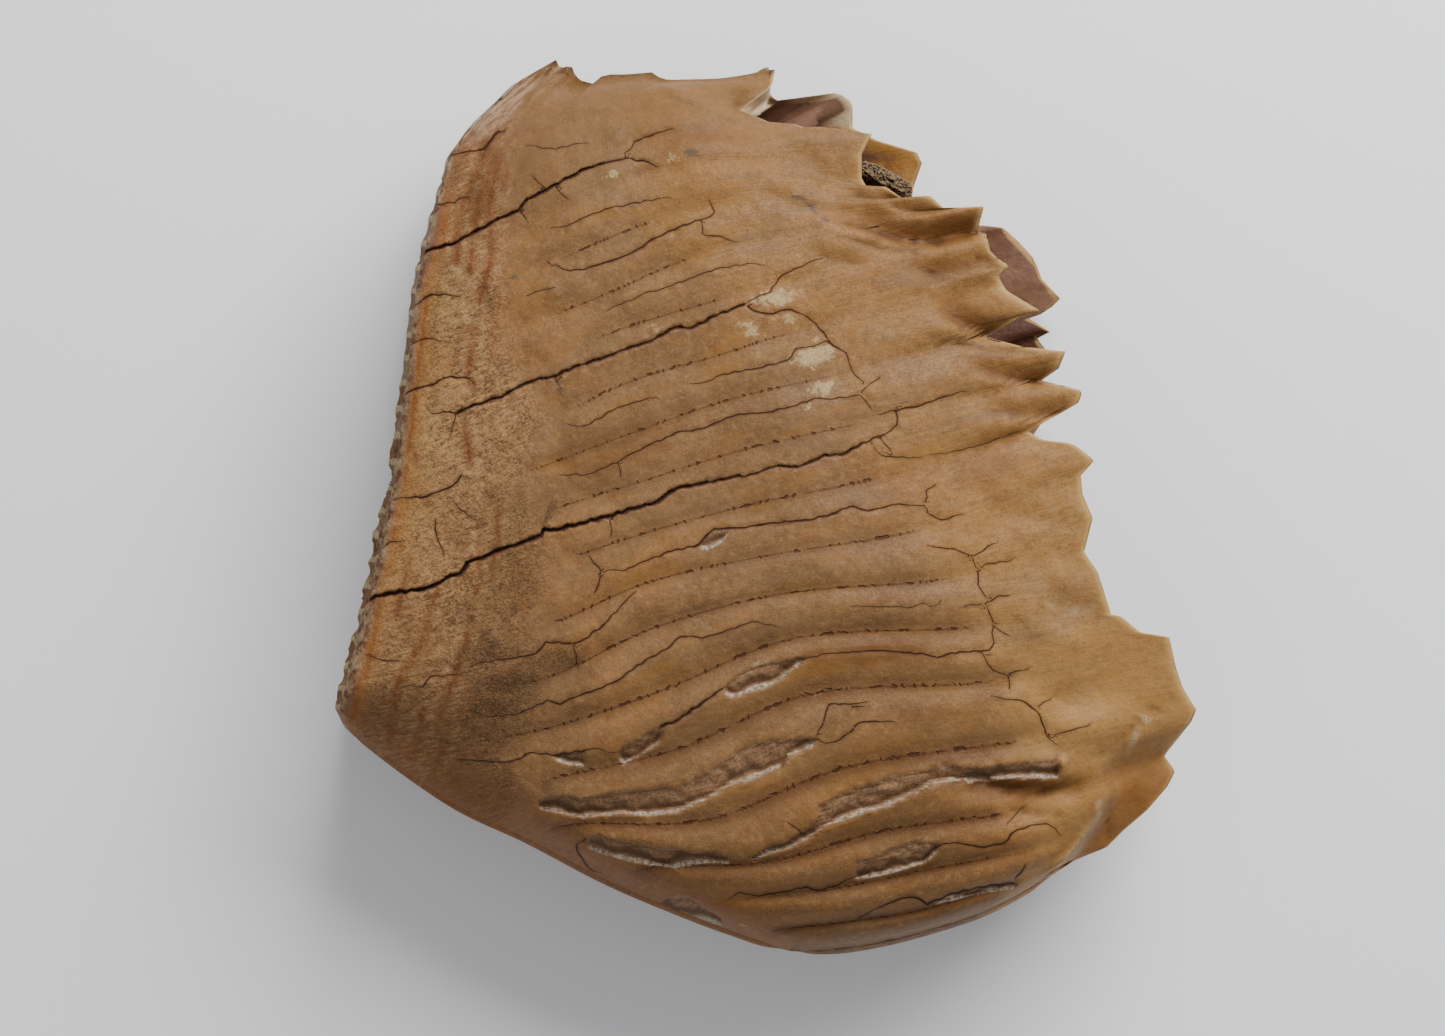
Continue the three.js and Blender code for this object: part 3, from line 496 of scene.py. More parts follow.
def crack_runs():
    """All the short runs of the cracks: starts, ends, widths and depths."""
    runs = []
    for number, (width, depth, *points) in enumerate(CRACKS):
        start, end = segments(jitter(points, 0.28, number))
        order = np.arange(len(start))
        along = (order + 0.5) / len(order)
        if width < 1:
            taper = np.minimum(1, 0.3 + 2.4 * np.minimum(along, 1 - along))
        else:
            taper = np.minimum(1, 0.45 + 2.2 * (1 - along))
        uneven = 1 + 0.3 * np.sin(1.7 * order + number) * np.sin(0.61 * order + 2 * number)
        runs.append((start, end, 0.62 * width**1.15 * taper * uneven, 0.45 * depth * taper))
    return [np.concatenate(part) for part in zip(*runs)]


def crack_fields(xy):
    """Signed and plain distance to the nearest crack, its width there and its depth."""
    start, end, width, depth = crack_runs()
    run = end - start
    length2 = (run**2).sum(1)
    fields = np.empty((len(xy), 4))
    at_once = 4000
    for lo in range(0, len(xy), at_once):
        off = xy[lo:lo + at_once, None, :] - start
        t = np.clip((off * run).sum(2) / length2, 0, 1)
        distance = np.sqrt(((off - t[..., None] * run) ** 2).sum(2))
        k = distance.argmin(1)
        each = np.arange(len(k))
        near = distance[each, k]
        cross = run[k, 0] * off[each, k, 1] - run[k, 1] * off[each, k, 0]
        fields[lo:lo + at_once] = columns(np.where(cross >= 0, near, -near), near, width[k], depth[k])
    return fields


def flake_fields(xy):
    """How deep the flake scars lie, and how far a place is floor, pale broken edge or painted shadow, under
    the top edge and above the pale edge.
    """
    fields = np.zeros((len(xy), 4))
    x, y = xy.T
    wander = 0.45 * fbm(columns(x * 0.22, y * 0.1, 0), 3, 3.3)
    for (full, *upper), lower in zip(FLAKES[::2], FLAKES[1::2]):
        upper, lower = np.reshape(upper, (-1, 2)), lower.reshape(-1, 2)
        top = np.interp(x, *upper.T) + wander
        bottom = np.interp(x, *lower.T) + 0.7 * wander
        gap = np.maximum(top - bottom, 0.4)
        below_top = top - y
        t = below_top / gap
        ends = np.clip(np.minimum(x - upper[0, 0], upper[-1, 0] - x) / 1.5, 0, 1)
        # Distance past the lower edge, in widths of the pale broken edge.
        past = (t - 1) * gap / (1.45 + 1.9 * wander)
        drop = smooth(-0.25, 0.35, below_top) * mix(0.35, 1, smooth(0, 1, t)) * smooth(0.6, -0.3, past)
        floor = smooth(-0.1, 0.25 / gap, t) * smooth(-0.2, -0.5, past)
        top_line = 0.36 * smooth(0.8, 0, np.abs(below_top - 0.1))
        edge = np.maximum(band(-0.45, -0.1, 0.35, 0.7, past), top_line)
        # Painted shadow under the ledge of the top edge.
        ledge_shadow = 0.55 * smooth(0.45, 0, np.abs(below_top - 0.45))
        shade = np.maximum(band(-2.2, -1.1, -0.7, -0.45, past), ledge_shadow)
        fields = np.maximum(fields, columns(full * drop, floor, edge, shade) * ends[:, None])
    return fields


# The tooth's fine mesh: rings round the tooth, each over the upper flank, the root, the lower flank and the
# chewing face, with cells of 8 units that split into cells of 4, 2 and 1 where there is more to show.
UPPER, ROOT, LOWER, CHEWING, END = range(5)
PER_PLATE = 32
CELL = 8
ROWS = PLATES * PER_PLATE
RISE_STEPS = 62 * CELL
SIDE_STEPS = 24 * CELL
RING = 2 * (RISE_STEPS + SIDE_STEPS)


def rise_at(b):
    """Rise at a place along the flank, with the places closer together where the front edge is jagged."""
    return np.interp(b / RISE_STEPS, [0, 0.12, 0.5, 1], [0, 0.1, 0.37, 1])


def root_side(b):
    """Side at a place across the root, with the places closer together beside the rims."""
    return np.interp(b / SIDE_STEPS, [0, 0.12, 0.2, 0.5, 0.8, 0.88, 1], [1, 0.95, 0.9, 0, -0.9, -0.95, -1])


def chewing_side(b):
    return 2 * b / SIDE_STEPS - 1


def ring_place(b):
    """Rise, side (1 on the upper flank, -1 on the lower one) and face at a place round the ring."""
    root_end, lower_end = RISE_STEPS + SIDE_STEPS, 2 * RISE_STEPS + SIDE_STEPS
    face = np.select([b <= RISE_STEPS, b < root_end, b <= lower_end], [UPPER, ROOT, LOWER], CHEWING)
    rise = np.choose(face, [rise_at(b), 1, rise_at(lower_end - b), 0])
    side = np.choose(face, [1, root_side(b - RISE_STEPS), -1, chewing_side(b - lower_end)])
    return rise, side, face


def open_root(plate, rise, side, face):
    """Rise and depth in the sockets of the root, which lie between the plates, but for one wide socket."""
    across = np.where(np.abs(plate - 3) < 0.5, 1, np.sin(np.pi * plate) ** 2)
    grain = columns(plate * 1.3, side * 2.5, 0)
    wall = 0.925 + 0.02 * fbm(grain * 2.1, 2, 2)
    bottom = 0.8 + 0.03 * fbm(grain, 2, 4)
    socket_rise = mix(wall, bottom, smooth(0.2, 0.6, across + 0.1 * value_noise(grain * 1.7, 6)))
    within = smooth(1, 0.93, np.abs(side)) * smooth(0.75, 1.1, plate) * smooth(0, 0.4, PLATES - plate)
    deep = np.where(face == ROOT, within, 0)
    return np.where(face == ROOT, mix(1, socket_rise, within), rise), deep


def measure(p):
    """Distances and marks in plan at each place: edges, rough band, cracks, flakes and folds."""
    p.east, p.north = p.ground.T
    # Noise runs on from flank to flank as if they were this far apart.
    half_apart = 60
    p.grain = columns(p.east, p.north, half_apart * p.side)
    p.ragged = 3.5 * fbm(p.grain * 0.1, 2, 5) + 2.2 * fbm(p.grain * 0.5, 2, 6)
    p.edge_mm, p.tip_mm, p.slant_mm = [
        line_distance(p.ground, line)[0] for line in (CHEWING_EDGE, TIP_EDGE, SLANT_EDGE)]
    rough = smooth(4, -10, p.east - np.interp(p.north, *ROUGH_LIMIT.T) + p.ragged)
    p.rough = np.maximum(rough, 0.75 * smooth(13, 3, p.tip_mm + p.ragged) * smooth(8, -20, p.east))
    upper_ground = p.ground[p.upper]
    far = 9
    cracks = np.clip(crack_fields(upper_ground), -far, far)
    p.crack_side, p.crack_near, p.crack_width, p.crack_depth = on(p.upper, cracks, (0, far, 0, 0)).T
    p.flake_cut, p.flake_floor, p.flake_edge, p.flake_shade = on(p.upper, flake_fields(upper_ground)).T
    folded = (p.face < LOWER) & (p.east > -25)
    p.fold_cut, p.fold_shade, p.crease = on(folded, fold_fields(p.ground[folded])).T


def levels(p):
    """Heights of the upper and the lower flank at each place."""
    full, rib = fullness(p.plate, p.rise), ribs(p.plate, p.rise)
    # Broad swells, finer unevenness and more of it on the rough band, in millimetres.
    relief = 0.7 * fbm(p.grain * 0.06, 3, 1) + 0.16 * fbm(p.grain * 0.35, 2, 8)
    relief = (relief + 0.28 * p.rough * fbm(p.grain * 0.55, 2, 4)) * band(0, 0.03, 0.985, 1, p.rise)
    # A crack opens over its own width, and both its lips are raised a little.
    crack_cut = p.crack_depth * smooth(0.6 * p.crack_width + 0.1, 0.2 * p.crack_width, p.crack_near)
    lip = 0.18 * np.clip(p.crack_depth, 0, 2) * band(0.1, 0.6, 0.5, 3.0, p.crack_near)
    floor_relief = 0.4 * p.flake_floor * fbm(p.grain * (0.4, 0.5, 0.1), 2, 6)
    high = GIRTH_Z + UPPER_HALF * full + rib - shoulder(p.plate, p.rise)
    high = high - crack_cut + lip - p.flake_cut + floor_relief + relief - p.fold_cut
    low = np.maximum(0, GIRTH_Z - LOWER_HALF * full - 0.6 * rib)
    low = low + np.where(low > 0.5, 0.4 * relief, 0)
    return np.minimum(high, GIRTH_Z + UPPER_HALF), np.maximum(low, 0)


def chewing_push(p, z):
    """How far the chewing face stands out: worn ridges, a crust beside the upper flank, unworn tips."""
    inside = quarter((1 - np.abs(p.side)) / 0.25) * smooth(0, 0.6, p.plate) * smooth(0, 1, PLATES - p.plate)
    crust = 1.2 - 2.6 * np.abs(value_noise(columns(p.plate * 1.9 + z * 0.03, z * 0.1, 0), 9))
    crust = crust + 0.7 * fbm(columns(p.plate * 6, z * 0.35, 0), 3, 12)
    crust = crust * band(4, 7, 11.2, 12, p.plate) * mix(0.35, 1, smooth(18, 50, z))
    ridge = -np.cos(4 * np.pi * p.plate + 0.7 * value_noise(columns(p.plate * 2, z * 0.05, 0), 4))
    uneven = 0.7 + 0.5 * value_noise(columns(p.plate * 0.8, 0, 0), 5)
    ridge = ridge * mix(1, 0.25, smooth(25, 55, z)) * uneven
    round_side = 1 - p.side**2
    tip = 1.6 * (1 - p.worn) * round_side
    return np.where(p.face == CHEWING, inside * (p.worn * (ridge - 2 * round_side + crust) + tip), 0)


def place_in_space(p):
    """Places in metres."""
    high, low = levels(p)
    z = mix(low, high, (p.side + 1) / 2)
    z = z - p.deep * smooth(0, 0.6, p.side) * mix(1.2, 4, smooth(13.5, 15, p.plate))
    drawn = (EYE_Z - GIRTH_Z - np.abs(z - GIRTH_Z)) / (EYE_Z - GIRTH_Z)
    # The chewing face leans out below, and the two ends are a little hollow.
    lean = 0.1 * (high - z) * smooth(0.3, 0, p.rise) * p.worn
    hollow = (1 - p.side**2) * band(0, 0.2, 0.9, 1, p.rise)
    bulge = hollow * np.select([p.plate == 0, p.plate == PLATES], [-3, -1.5], 0)
    push = chewing_push(p, z)
    x = p.east * drawn - lean - push * mix(0.6, 1, p.worn)
    y = p.north * drawn + bulge - push * mix(0.8, 0.1, p.worn)
    return columns(x - CENTRE[0], y - CENTRE[1], z) / 1000


def root_marks(p, root, chewing):
    """Marks of the open root, by plate: notch, sockets, pale rim, golden floor and painted shade in the deep
    caves.
    """
    notch = root * band(0.25, 0.4, 1.05, 1.2, p.plate) * smooth(-0.96, -0.9, p.side)
    socket = root * smooth(0.004, 0.03, p.deep) * (1 - notch)
    thick = 0.02 + 0.25 * band(1.1, 1.3, 2.4, 2.6, p.plate) * (p.side < 0)
    rim = np.where(root, smooth(thick, 0.3 * thick, p.deep), np.where(chewing, 0, smooth(0.99, 1, p.rise)))
    wide_socket = root * band(2.45, 2.6, 3.95, 4.1, p.plate)
    gold = wide_socket * smooth(0.3, 0.15, p.deep - 0.45 * smooth(3.2, 3.6, p.plate)) * (p.side < 0)
    cave_painted_shade = root * band(7.5, 7.65, 8.5, 8.7, p.plate) + wide_socket * smooth(0.2, 0.5, p.deep)
    return notch, socket, rim, gold, cave_painted_shade


def surface(plate, rise, side, face):
    """Places in metres, and the three-part fields that the material reads, under the names it uses."""
    rise, deep = open_root(plate, rise, side, face)
    p = SimpleNamespace(plate=plate, rise=rise, side=side, face=face, deep=deep, upper=face == UPPER)
    p.ground = plan(plate, rise, side)
    p.worn = smooth(WORN + 1, WORN - 1, plate)
    measure(p)

    root, chewing = face == ROOT, face == CHEWING
    notch, socket, rim, gold, cave_painted_shade = root_marks(p, root, chewing)
    strip = np.where(chewing, 1.0, np.where(p.upper, smooth(0.018, 0.0, rise), 0)) * p.worn
    root_line = np.interp(plate, *ROOT_LINE.T)
    on_root = smooth(-0.05, 0.07, rise - root_line + 0.03 * fbm(p.grain * 0.1, 2, 3))
    slant = smooth(7, 2, p.slant_mm + 0.7 * p.ragged) * smooth(0.45, 0.2, rise) * smooth(106, 118, p.north)
    back_crest = smooth(0.87, 0.92, rise) * smooth(15.2, 16.2, plate)
    # Amber over the back crest; beside the tip, a warm tint painted as the warm light in the steep edge's
    # shade.
    warm = np.maximum(back_crest, smooth(15, 4, p.tip_mm) * smooth(12, 13.5, plate))
    near_rim = np.where(root, 0, smooth(0.975, 0.997, rise))
    growth_mm = np.minimum(30, np.min([line_distance(p.ground, points)[0] for points in GROWTH], 0))
    flank = p.upper | (face == LOWER)
    # Painted highlights along thin crests of the root, some of them pale scratches.
    pale_line = np.zeros(len(plate))
    for width, strength, *points in CREST_HIGHLIGHTS_AND_SCRATCHES:
        away = line_distance(p.ground, points)[0] / width / 1.6
        pale_line = np.maximum(pale_line, p.upper * strength * np.exp(-(away**2)))
    seam_on, seam_band = [flank * field for field in seam_fields(p.ground, plate)]
    return {
        "place": place_in_space(p),
        "line": columns(plate, rise, seam_on),
        "zone": columns(p.rough * ~root, strip, socket),
        "crack": columns(p.crack_side, p.crack_near, p.crack_width),
        "scar": columns(p.flake_floor, p.flake_edge, rim),
        "stain": columns(*[blobs(p.ground, table) * p.upper for table in (CREAM, GREY, DARK)]),
        "reach": columns(p.edge_mm, gold, on_root),
        "tint": columns(seam_band, slant, notch),
        "growth": columns(growth_mm, p.flake_shade, warm),
        "fold": columns(p.fold_shade, p.crease, np.where(chewing, side, np.where(root, cave_painted_shade, 1))),
        "mark": columns(blobs(p.ground, AMBER) * p.upper, pale_line, near_rim),
    }


def cell_fields(size):
    """Crack distance and width, and flake scars, at the middle of each cell of the upper flank."""
    a = np.arange(0, ROWS, size) + size / 2
    b = np.arange(0, RISE_STEPS, size) + size / 2
    plate, rise = [v.ravel() for v in np.meshgrid(a / ROWS * PLATES, rise_at(b), indexing="ij")]
    xy = plan(plate, rise, np.ones_like(plate))
    _, near, width, _ = crack_fields(xy).T
    _, floor, edge, _ = flake_fields(xy).T
    return [v.reshape(len(a), len(b)) for v in (near, width, np.maximum(floor, edge))]


def keep_whole(mask, size, margin):
    """Leaves whole the cells in the rows beside the two ends, where they meet the end grids."""
    first = np.arange(len(mask)) * size
    mask[(first < margin) | (first + size > ROWS - margin)] = False


def grown(mask):
    """The mask with the cells all round it; the second axis closes into a ring."""
    tall = mask.copy()
    tall[1:] |= mask[:-1]
    tall[:-1] |= mask[1:]
    return tall | np.roll(tall, 1, 1) | np.roll(tall, -1, 1)


def parents(mask):
    return mask.reshape(mask.shape[0] // 2, 2, mask.shape[1] // 2, 2).any((1, 3))


def refine():
    """Which cells of 8, 4 and 2 units are split. Neighbours differ by one level at most."""
    split8, split4, split2 = [np.zeros((ROWS // size, RING // size), bool) for size in (8, 4, 2)]
    near, width, scar = cell_fields(2)
    split2[:, :RISE_STEPS // 2] = ((near < 0.55 + 0.5 * width) & (width > 0.6)) | (scar > 0.05)
    near, width, scar = cell_fields(4)
    split4[:, :RISE_STEPS // 4] = near < 1.5
    rim = RISE_STEPS // 4
    # Finer cells beside cracks, in flake scars, round the root's upper rim and over the worn chewing face.
    split4[:, rim - 2:rim + 6] = True
    split4[PER_PLATE // 8:WORN * PER_PLATE // 4, -SIDE_STEPS // 8:] = True
    split8[:, :RISE_STEPS // 8 + SIDE_STEPS // 8] = True
    split8[:, -SIDE_STEPS // 8:] = True
    keep_whole(split2, 2, 14)
    keep_whole(split4, 4, 12)
    keep_whole(split8, 8, 8)
    split4 |= parents(grown(split2))
    split8 |= parents(grown(split4))
    keep_whole(split4, 4, 8)
    split8[[0, -1]] = False
    return split8, split4, split2


def vertex_key(a, b):
    return a * RING + np.mod(b, RING)


def lattice(split8, split4, split2):
    """Corners and loops of the cells; a loop takes in a finer neighbour's corner on its side."""
    cells = []
    exists = np.ones_like(split8)
    for mask, size in ((split8, 8), (split4, 4), (split2, 2)):
        a, b = np.nonzero(exists & ~mask)
        cells.append((a * size, b * size, size))
        exists = (exists & mask).repeat(2, 0).repeat(2, 1)
    cells.append((*np.nonzero(exists), 1))

    corners = [vertex_key(a + da * s, b + db * s) for a, b, s in cells for da in (0, 1) for db in (0, 1)]
    corners = np.unique(np.concatenate(corners))
    loops, counts = [], []
    round_cell = [(0, 0), (1, 0), (2, 0), (2, 1), (2, 2), (1, 2), (0, 2), (0, 1)]
    for a, b, size in cells:
        loop = np.stack([vertex_key(a + da * size // 2, b + db * size // 2) for da, db in round_cell], 1)
        use = np.isin(loop, corners)
        use[:, ::2] = True
        if size == 1:
            use[:, 1::2] = False
        loops.append(loop[use])
        counts.append(use.sum(1))
    return corners, np.searchsorted(corners, np.concatenate(loops)), np.concatenate(counts)


def end_grid(corners, row, first_new):
    """Fields and quads of the grid that closes an end between the ring's own vertices."""
    last_i, last_j = RISE_STEPS // CELL, SIDE_STEPS // CELL
    i, j = np.arange(last_i + 1), np.arange(last_j + 1)
    at = np.full((last_i + 1, last_j + 1), -1)
    at[0] = RING - SIDE_STEPS + (last_j - j) * CELL
    at[-1] = RISE_STEPS + j * CELL
    at[:, -1] = RISE_STEPS + SIDE_STEPS + (last_i - i) * CELL
    at[:, 0] = i * CELL
    new_i, new_j = np.nonzero(at < 0)
    index = np.searchsorted(corners, row * RING + at % RING)
    index[new_i, new_j] = first_new + np.arange(len(new_i))
    rise = rise_at(new_i * CELL)
    side = mix(-chewing_side(new_j * CELL), root_side(new_j * CELL), rise)
    fields = surface(np.full(len(rise), row / ROWS * PLATES), rise, side, np.full(len(rise), END))
    quads = np.stack([index[:-1, :-1], index[1:, :-1], index[1:, 1:], index[:-1, 1:]], -1).reshape(-1, 4)
    return fields, quads if row else quads[:, ::-1]


def new_mesh(name, places, loops, counts):
    mesh = bpy.data.meshes.new(name)
    mesh.vertices.add(len(places))
    mesh.vertices.foreach_set("co", places.astype(np.float32).ravel())
    mesh.loops.add(len(loops))
    mesh.loops.foreach_set("vertex_index", loops.astype(np.int32))
    mesh.polygons.add(len(counts))
    mesh.polygons.foreach_set("loop_start", (np.cumsum(counts) - counts).astype(np.int32))
    mesh.update(calc_edges=True)
    mesh.polygons.foreach_set("use_smooth", np.ones(len(counts), bool))
    return mesh


def tooth_mesh():
    corners, loops, counts = lattice(*refine())
    parts = [surface(corners // RING / ROWS * PLATES, *ring_place(corners % RING))]
    loops, counts = [loops], [counts]
    total = len(corners)
    for row in (0, ROWS):
        part, quads = end_grid(corners, row, total)
        total += len(part["place"])
        parts.append(part)
        loops.append(quads.ravel())
        counts.append(np.full(len(quads), 4))
    fields = {name: np.concatenate([part[name] for part in parts]) for name in parts[0]}
    places = np.clip(fields.pop("place"), *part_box("molar"))
    mesh = new_mesh("tooth", places, np.concatenate(loops), np.concatenate(counts))
    for name, values in fields.items():
        attribute = mesh.attributes.new(name, "FLOAT_VECTOR", "POINT")
        attribute.data.foreach_set("vector", values.astype(np.float32).ravel())
    mesh.update()
    return mesh


def rgb(r, g, b):
    def linear(c):
        c /= 255
        return c / 12.92 if c <= 0.04045 else ((c + 0.055) / 1.055) ** 2.4
    return (linear(r), linear(g), linear(b), 1)


# What the studio light does to a tone: the coats of a material are written as they look in it.
LIT = (0.625, 0.62, 0.595)


def tone(r, g, b):
    return tuple(c * k for c, k in zip(rgb(r, g, b), LIT)) + (1,)


class Value:
    """What a node gives out. Sums, products and steps of values are nodes in turn."""

    def __init__(self, graph, socket):
        self.graph, self.socket = graph, socket

    def __add__(self, other):
        return self.graph.math("ADD", self, other)

    def __sub__(self, other):
        return self.graph.math("SUBTRACT", self, other)

    def __rsub__(self, other):
        return self.graph.math("SUBTRACT", other, self)

    def __mul__(self, other):
        return self.graph.math("MULTIPLY", self, other)

    def __truediv__(self, other):
        return self.graph.math("DIVIDE", self, other)

    def __abs__(self):
        return self.graph.math("ABSOLUTE", self)

    def step(self, lo, hi, out_lo=0.0, out_hi=1.0):
        """Goes softly from out_lo to out_hi while this value goes from lo to hi."""
        inputs = (self, lo, hi, out_lo, out_hi)
        return self.graph.node("ShaderNodeMapRange", inputs, interpolation_type="SMOOTHSTEP")


class Graph:
    """Short names for the nodes of one material."""

    def __init__(self, name):
        self.material = bpy.data.materials.new(name)
        self.material.use_nodes = True
        self.tree = self.material.node_tree
        self.shader = self.tree.nodes["Principled BSDF"]

    def put(self, socket, value):
        if isinstance(value, Value):
            self.tree.links.new(value.socket, socket)
        else:
            socket.default_value = value

    def node(self, kind, inputs=(), output=0, **settings):
        """Makes a node, its inputs given in order or by name, and returns one of its outputs."""
        node = self.tree.nodes.new(kind)
        for key, value in settings.items():
            setattr(node, key, value)
        for key, value in inputs.items() if isinstance(inputs, dict) else enumerate(inputs):
            self.put(node.inputs[key], value)
        return Value(self, node.outputs[output])

    def math(self, operation, *values):
        return self.node("ShaderNodeMath", values, operation=operation)

    def largest(self, a, b):
        return self.math("MAXIMUM", a, b)

    def mix(self, amount, under, over):
        """Mixes two colours. Three numbers stand for a tone."""
        under, over = [tone(*c) if isinstance(c, tuple) and len(c) == 3 else c for c in (under, over)]
        return self.node("ShaderNodeMix", {0: amount, 6: under, 7: over}, 2, data_type="RGBA")

    def coats(self, colour, *layers):
        """Lays coats over a colour, one after the other: how much of each, then its colour."""
        for amount, over in layers:
            colour = self.mix(amount, colour, over)
        return colour

    def noise(self, vector, scale, detail=2.0, rough=0.5, distort=0.0):
        inputs = dict(Vector=vector, Scale=scale, Detail=detail, Roughness=rough, Distortion=distort)
        return self.node("ShaderNodeTexNoise", inputs, "Fac")

    def voronoi(self, vector, scale):
        return self.node("ShaderNodeTexVoronoi", {"Vector": vector, "Scale": scale}, "Distance")

    def combine(self, x, y, z):
        return self.node("ShaderNodeCombineXYZ", (x, y, z))

    def split(self, vector):
        node = self.tree.nodes.new("ShaderNodeSeparateXYZ")
        self.put(node.inputs[0], vector)
        return [Value(self, output) for output in node.outputs]

    def attribute(self, name):
        return self.split(self.node("ShaderNodeAttribute", output="Vector", attribute_name=name))

    def millimetres(self):
        metres = self.node("ShaderNodeTexCoord", output="Object")
        return self.node("ShaderNodeVectorMath", {0: metres, "Scale": 1000}, operation="SCALE")

    def bump(self, height_mm):
        inputs = {"Strength": 1.0, "Distance": 0.001, "Height": height_mm}
        self.put(self.shader.inputs["Normal"], self.node("ShaderNodeBump", inputs))


# The parts of the mesh's fields, in the order in which surface() gives them.
FIELD_PARTS = {
    "line": "plate rise seam_on", "zone": "rough strip socket", "crack": "crack_side crack_near crack_width",
    "scar": "floor pale rim", "stain": "cream grey dark", "reach": "edge_mm gold root",
    "tint": "band slant notch", "growth": "growth shade warm", "fold": "fold_shade crease across",
    "mark": "amber pale_line near_rim",
}


def tooth_fields(g):
    """What the coats of the tooth read: the mesh's attributes, and noise of several sizes."""
    f = SimpleNamespace(mm=g.millimetres())
    f.east, f.north, f.up = g.split(f.mm)
    for name, parts in FIELD_PARTS.items():
        for part, value in zip(parts.split(), g.attribute(name)):
            setattr(f, part, value)
    f.large = g.noise(f.mm, 0.018, 3, 0.55)
    f.hue = g.noise(f.mm, 0.032, 3, 0.55)
    f.middle = g.noise(f.mm, 0.07, 4, 0.6)
    f.patch = g.noise(f.mm, 0.16, 4, 0.6)
    f.small = g.noise(f.mm, 0.42, 4, 0.6)
    f.blotch = g.noise(f.mm, 0.47, 4, 0.72)
    f.crumb = g.noise(f.mm, 1.15, 3, 0.75)
    f.fine = g.noise(f.mm, 1.6, 3, 0.6)
    f.grain = g.noise(g.combine(f.plate * 9.0, f.rise * 11.0, 0.0), 1.0, 2, 0.6)
    f.streak = g.noise(g.combine(f.plate * 15.0, f.rise * 7.0, 0.0), 1.0, 3, 0.7)
    f.crust = g.noise(f.mm, 0.34, 4, 0.7)
    return f


# Each coat function takes the material's graph g, its fields f and, most of them, the colour so far.
# A coat reads as where it lies and how strongly, then its tone. Steps pick out the highs or lows of a noise.
def crown_coats(g, f):
    """Crown and root: tan, darker over the back plates, brushed and speckled along the plates, with painted
    shade and painted highlights on the back ribs and painted shade over the front plates.
    """
    low = f.plate.step(11.5, 17.0) * (1 - f.root * 0.85)
    brush = g.noise(g.combine(f.plate * 2.0, f.rise * 6.0, f.up * 0.01), 1.0, 3, 0.65)
    silk = (f.root * 0.2 + 0.06) * f.hue.step(0.62, 0.42, 0.3, 1.0)
    speck = g.voronoi(f.mm, 0.42).step(0.13, 0.07) * f.patch.step(0.46, 0.56)
    in_rib = g.math("FRACT", f.plate + (f.patch - 0.5) * 0.3)
    back_ribs = f.plate.step(12.0, 15.0) * ((1 - f.root) * f.rise.step(0.1, 0.3))
    rib_painted_shade = in_rib.step(0.25, 0.02) * back_ribs
    rib_painted_highlight = in_rib.step(0.45, 0.7) * in_rib.step(0.98, 0.8) * back_ribs
    return g.coats(
        g.mix(f.middle.step(0.34, 0.66), (134, 98, 64), (156, 116, 78)),
        (f.large.step(0.42, 0.62) * 0.4, (164, 119, 75)),
        (f.root * 0.6, g.mix(f.plate.step(8.0, 12.0), (164, 115, 60), (190, 140, 80))),
        (low * 0.42, (122, 82, 44)),
        (f.hue.step(0.52, 0.68) * 0.4, (168, 110, 56)),
        (f.hue.step(0.46, 0.3) * 0.35, (142, 113, 84)),
        (f.patch.step(0.5, 0.72) * 0.3, (122, 84, 52)),
        (f.patch.step(0.48, 0.28) * 0.25, (172, 132, 88)),
        (f.grain.step(0.5, 0.75) * 0.2, (112, 78, 46)),
        (f.small.step(0.5, 0.7) * 0.4, (110, 77, 46)),
        (f.small.step(0.47, 0.3) * 0.36, (188, 146, 95)),
        (f.fine.step(0.5, 0.66) * 0.34, (108, 76, 46)),
        (f.fine.step(0.47, 0.32) * 0.28, (192, 150, 98)),
        (brush.step(0.52, 0.68) * 0.5, (164, 114, 56)),
        (brush.step(0.47, 0.33) * 0.45, (126, 98, 68)),
        (f.streak.step(0.52, 0.7) * silk, (122, 82, 46)),
        (f.streak.step(0.46, 0.3) * silk, (196, 150, 86)),
        (speck * 0.5, (92, 62, 40)),
        # Painted shade over the front plates, darker towards the front end.
        (f.plate.step(4.2, 1.0) * 0.5, (126, 90, 52)),
        (f.root * f.plate.step(12.9, 14.4) * 0.26, (206, 156, 92)),
        (f.near_rim * 0.45, (196, 150, 86)),
        # Painted shade on the lower side of each back rib and a painted highlight on its crest.
        (rib_painted_shade * 0.45, (112, 70, 34)),
        (rib_painted_highlight * 0.22, (176, 130, 78)),
    )


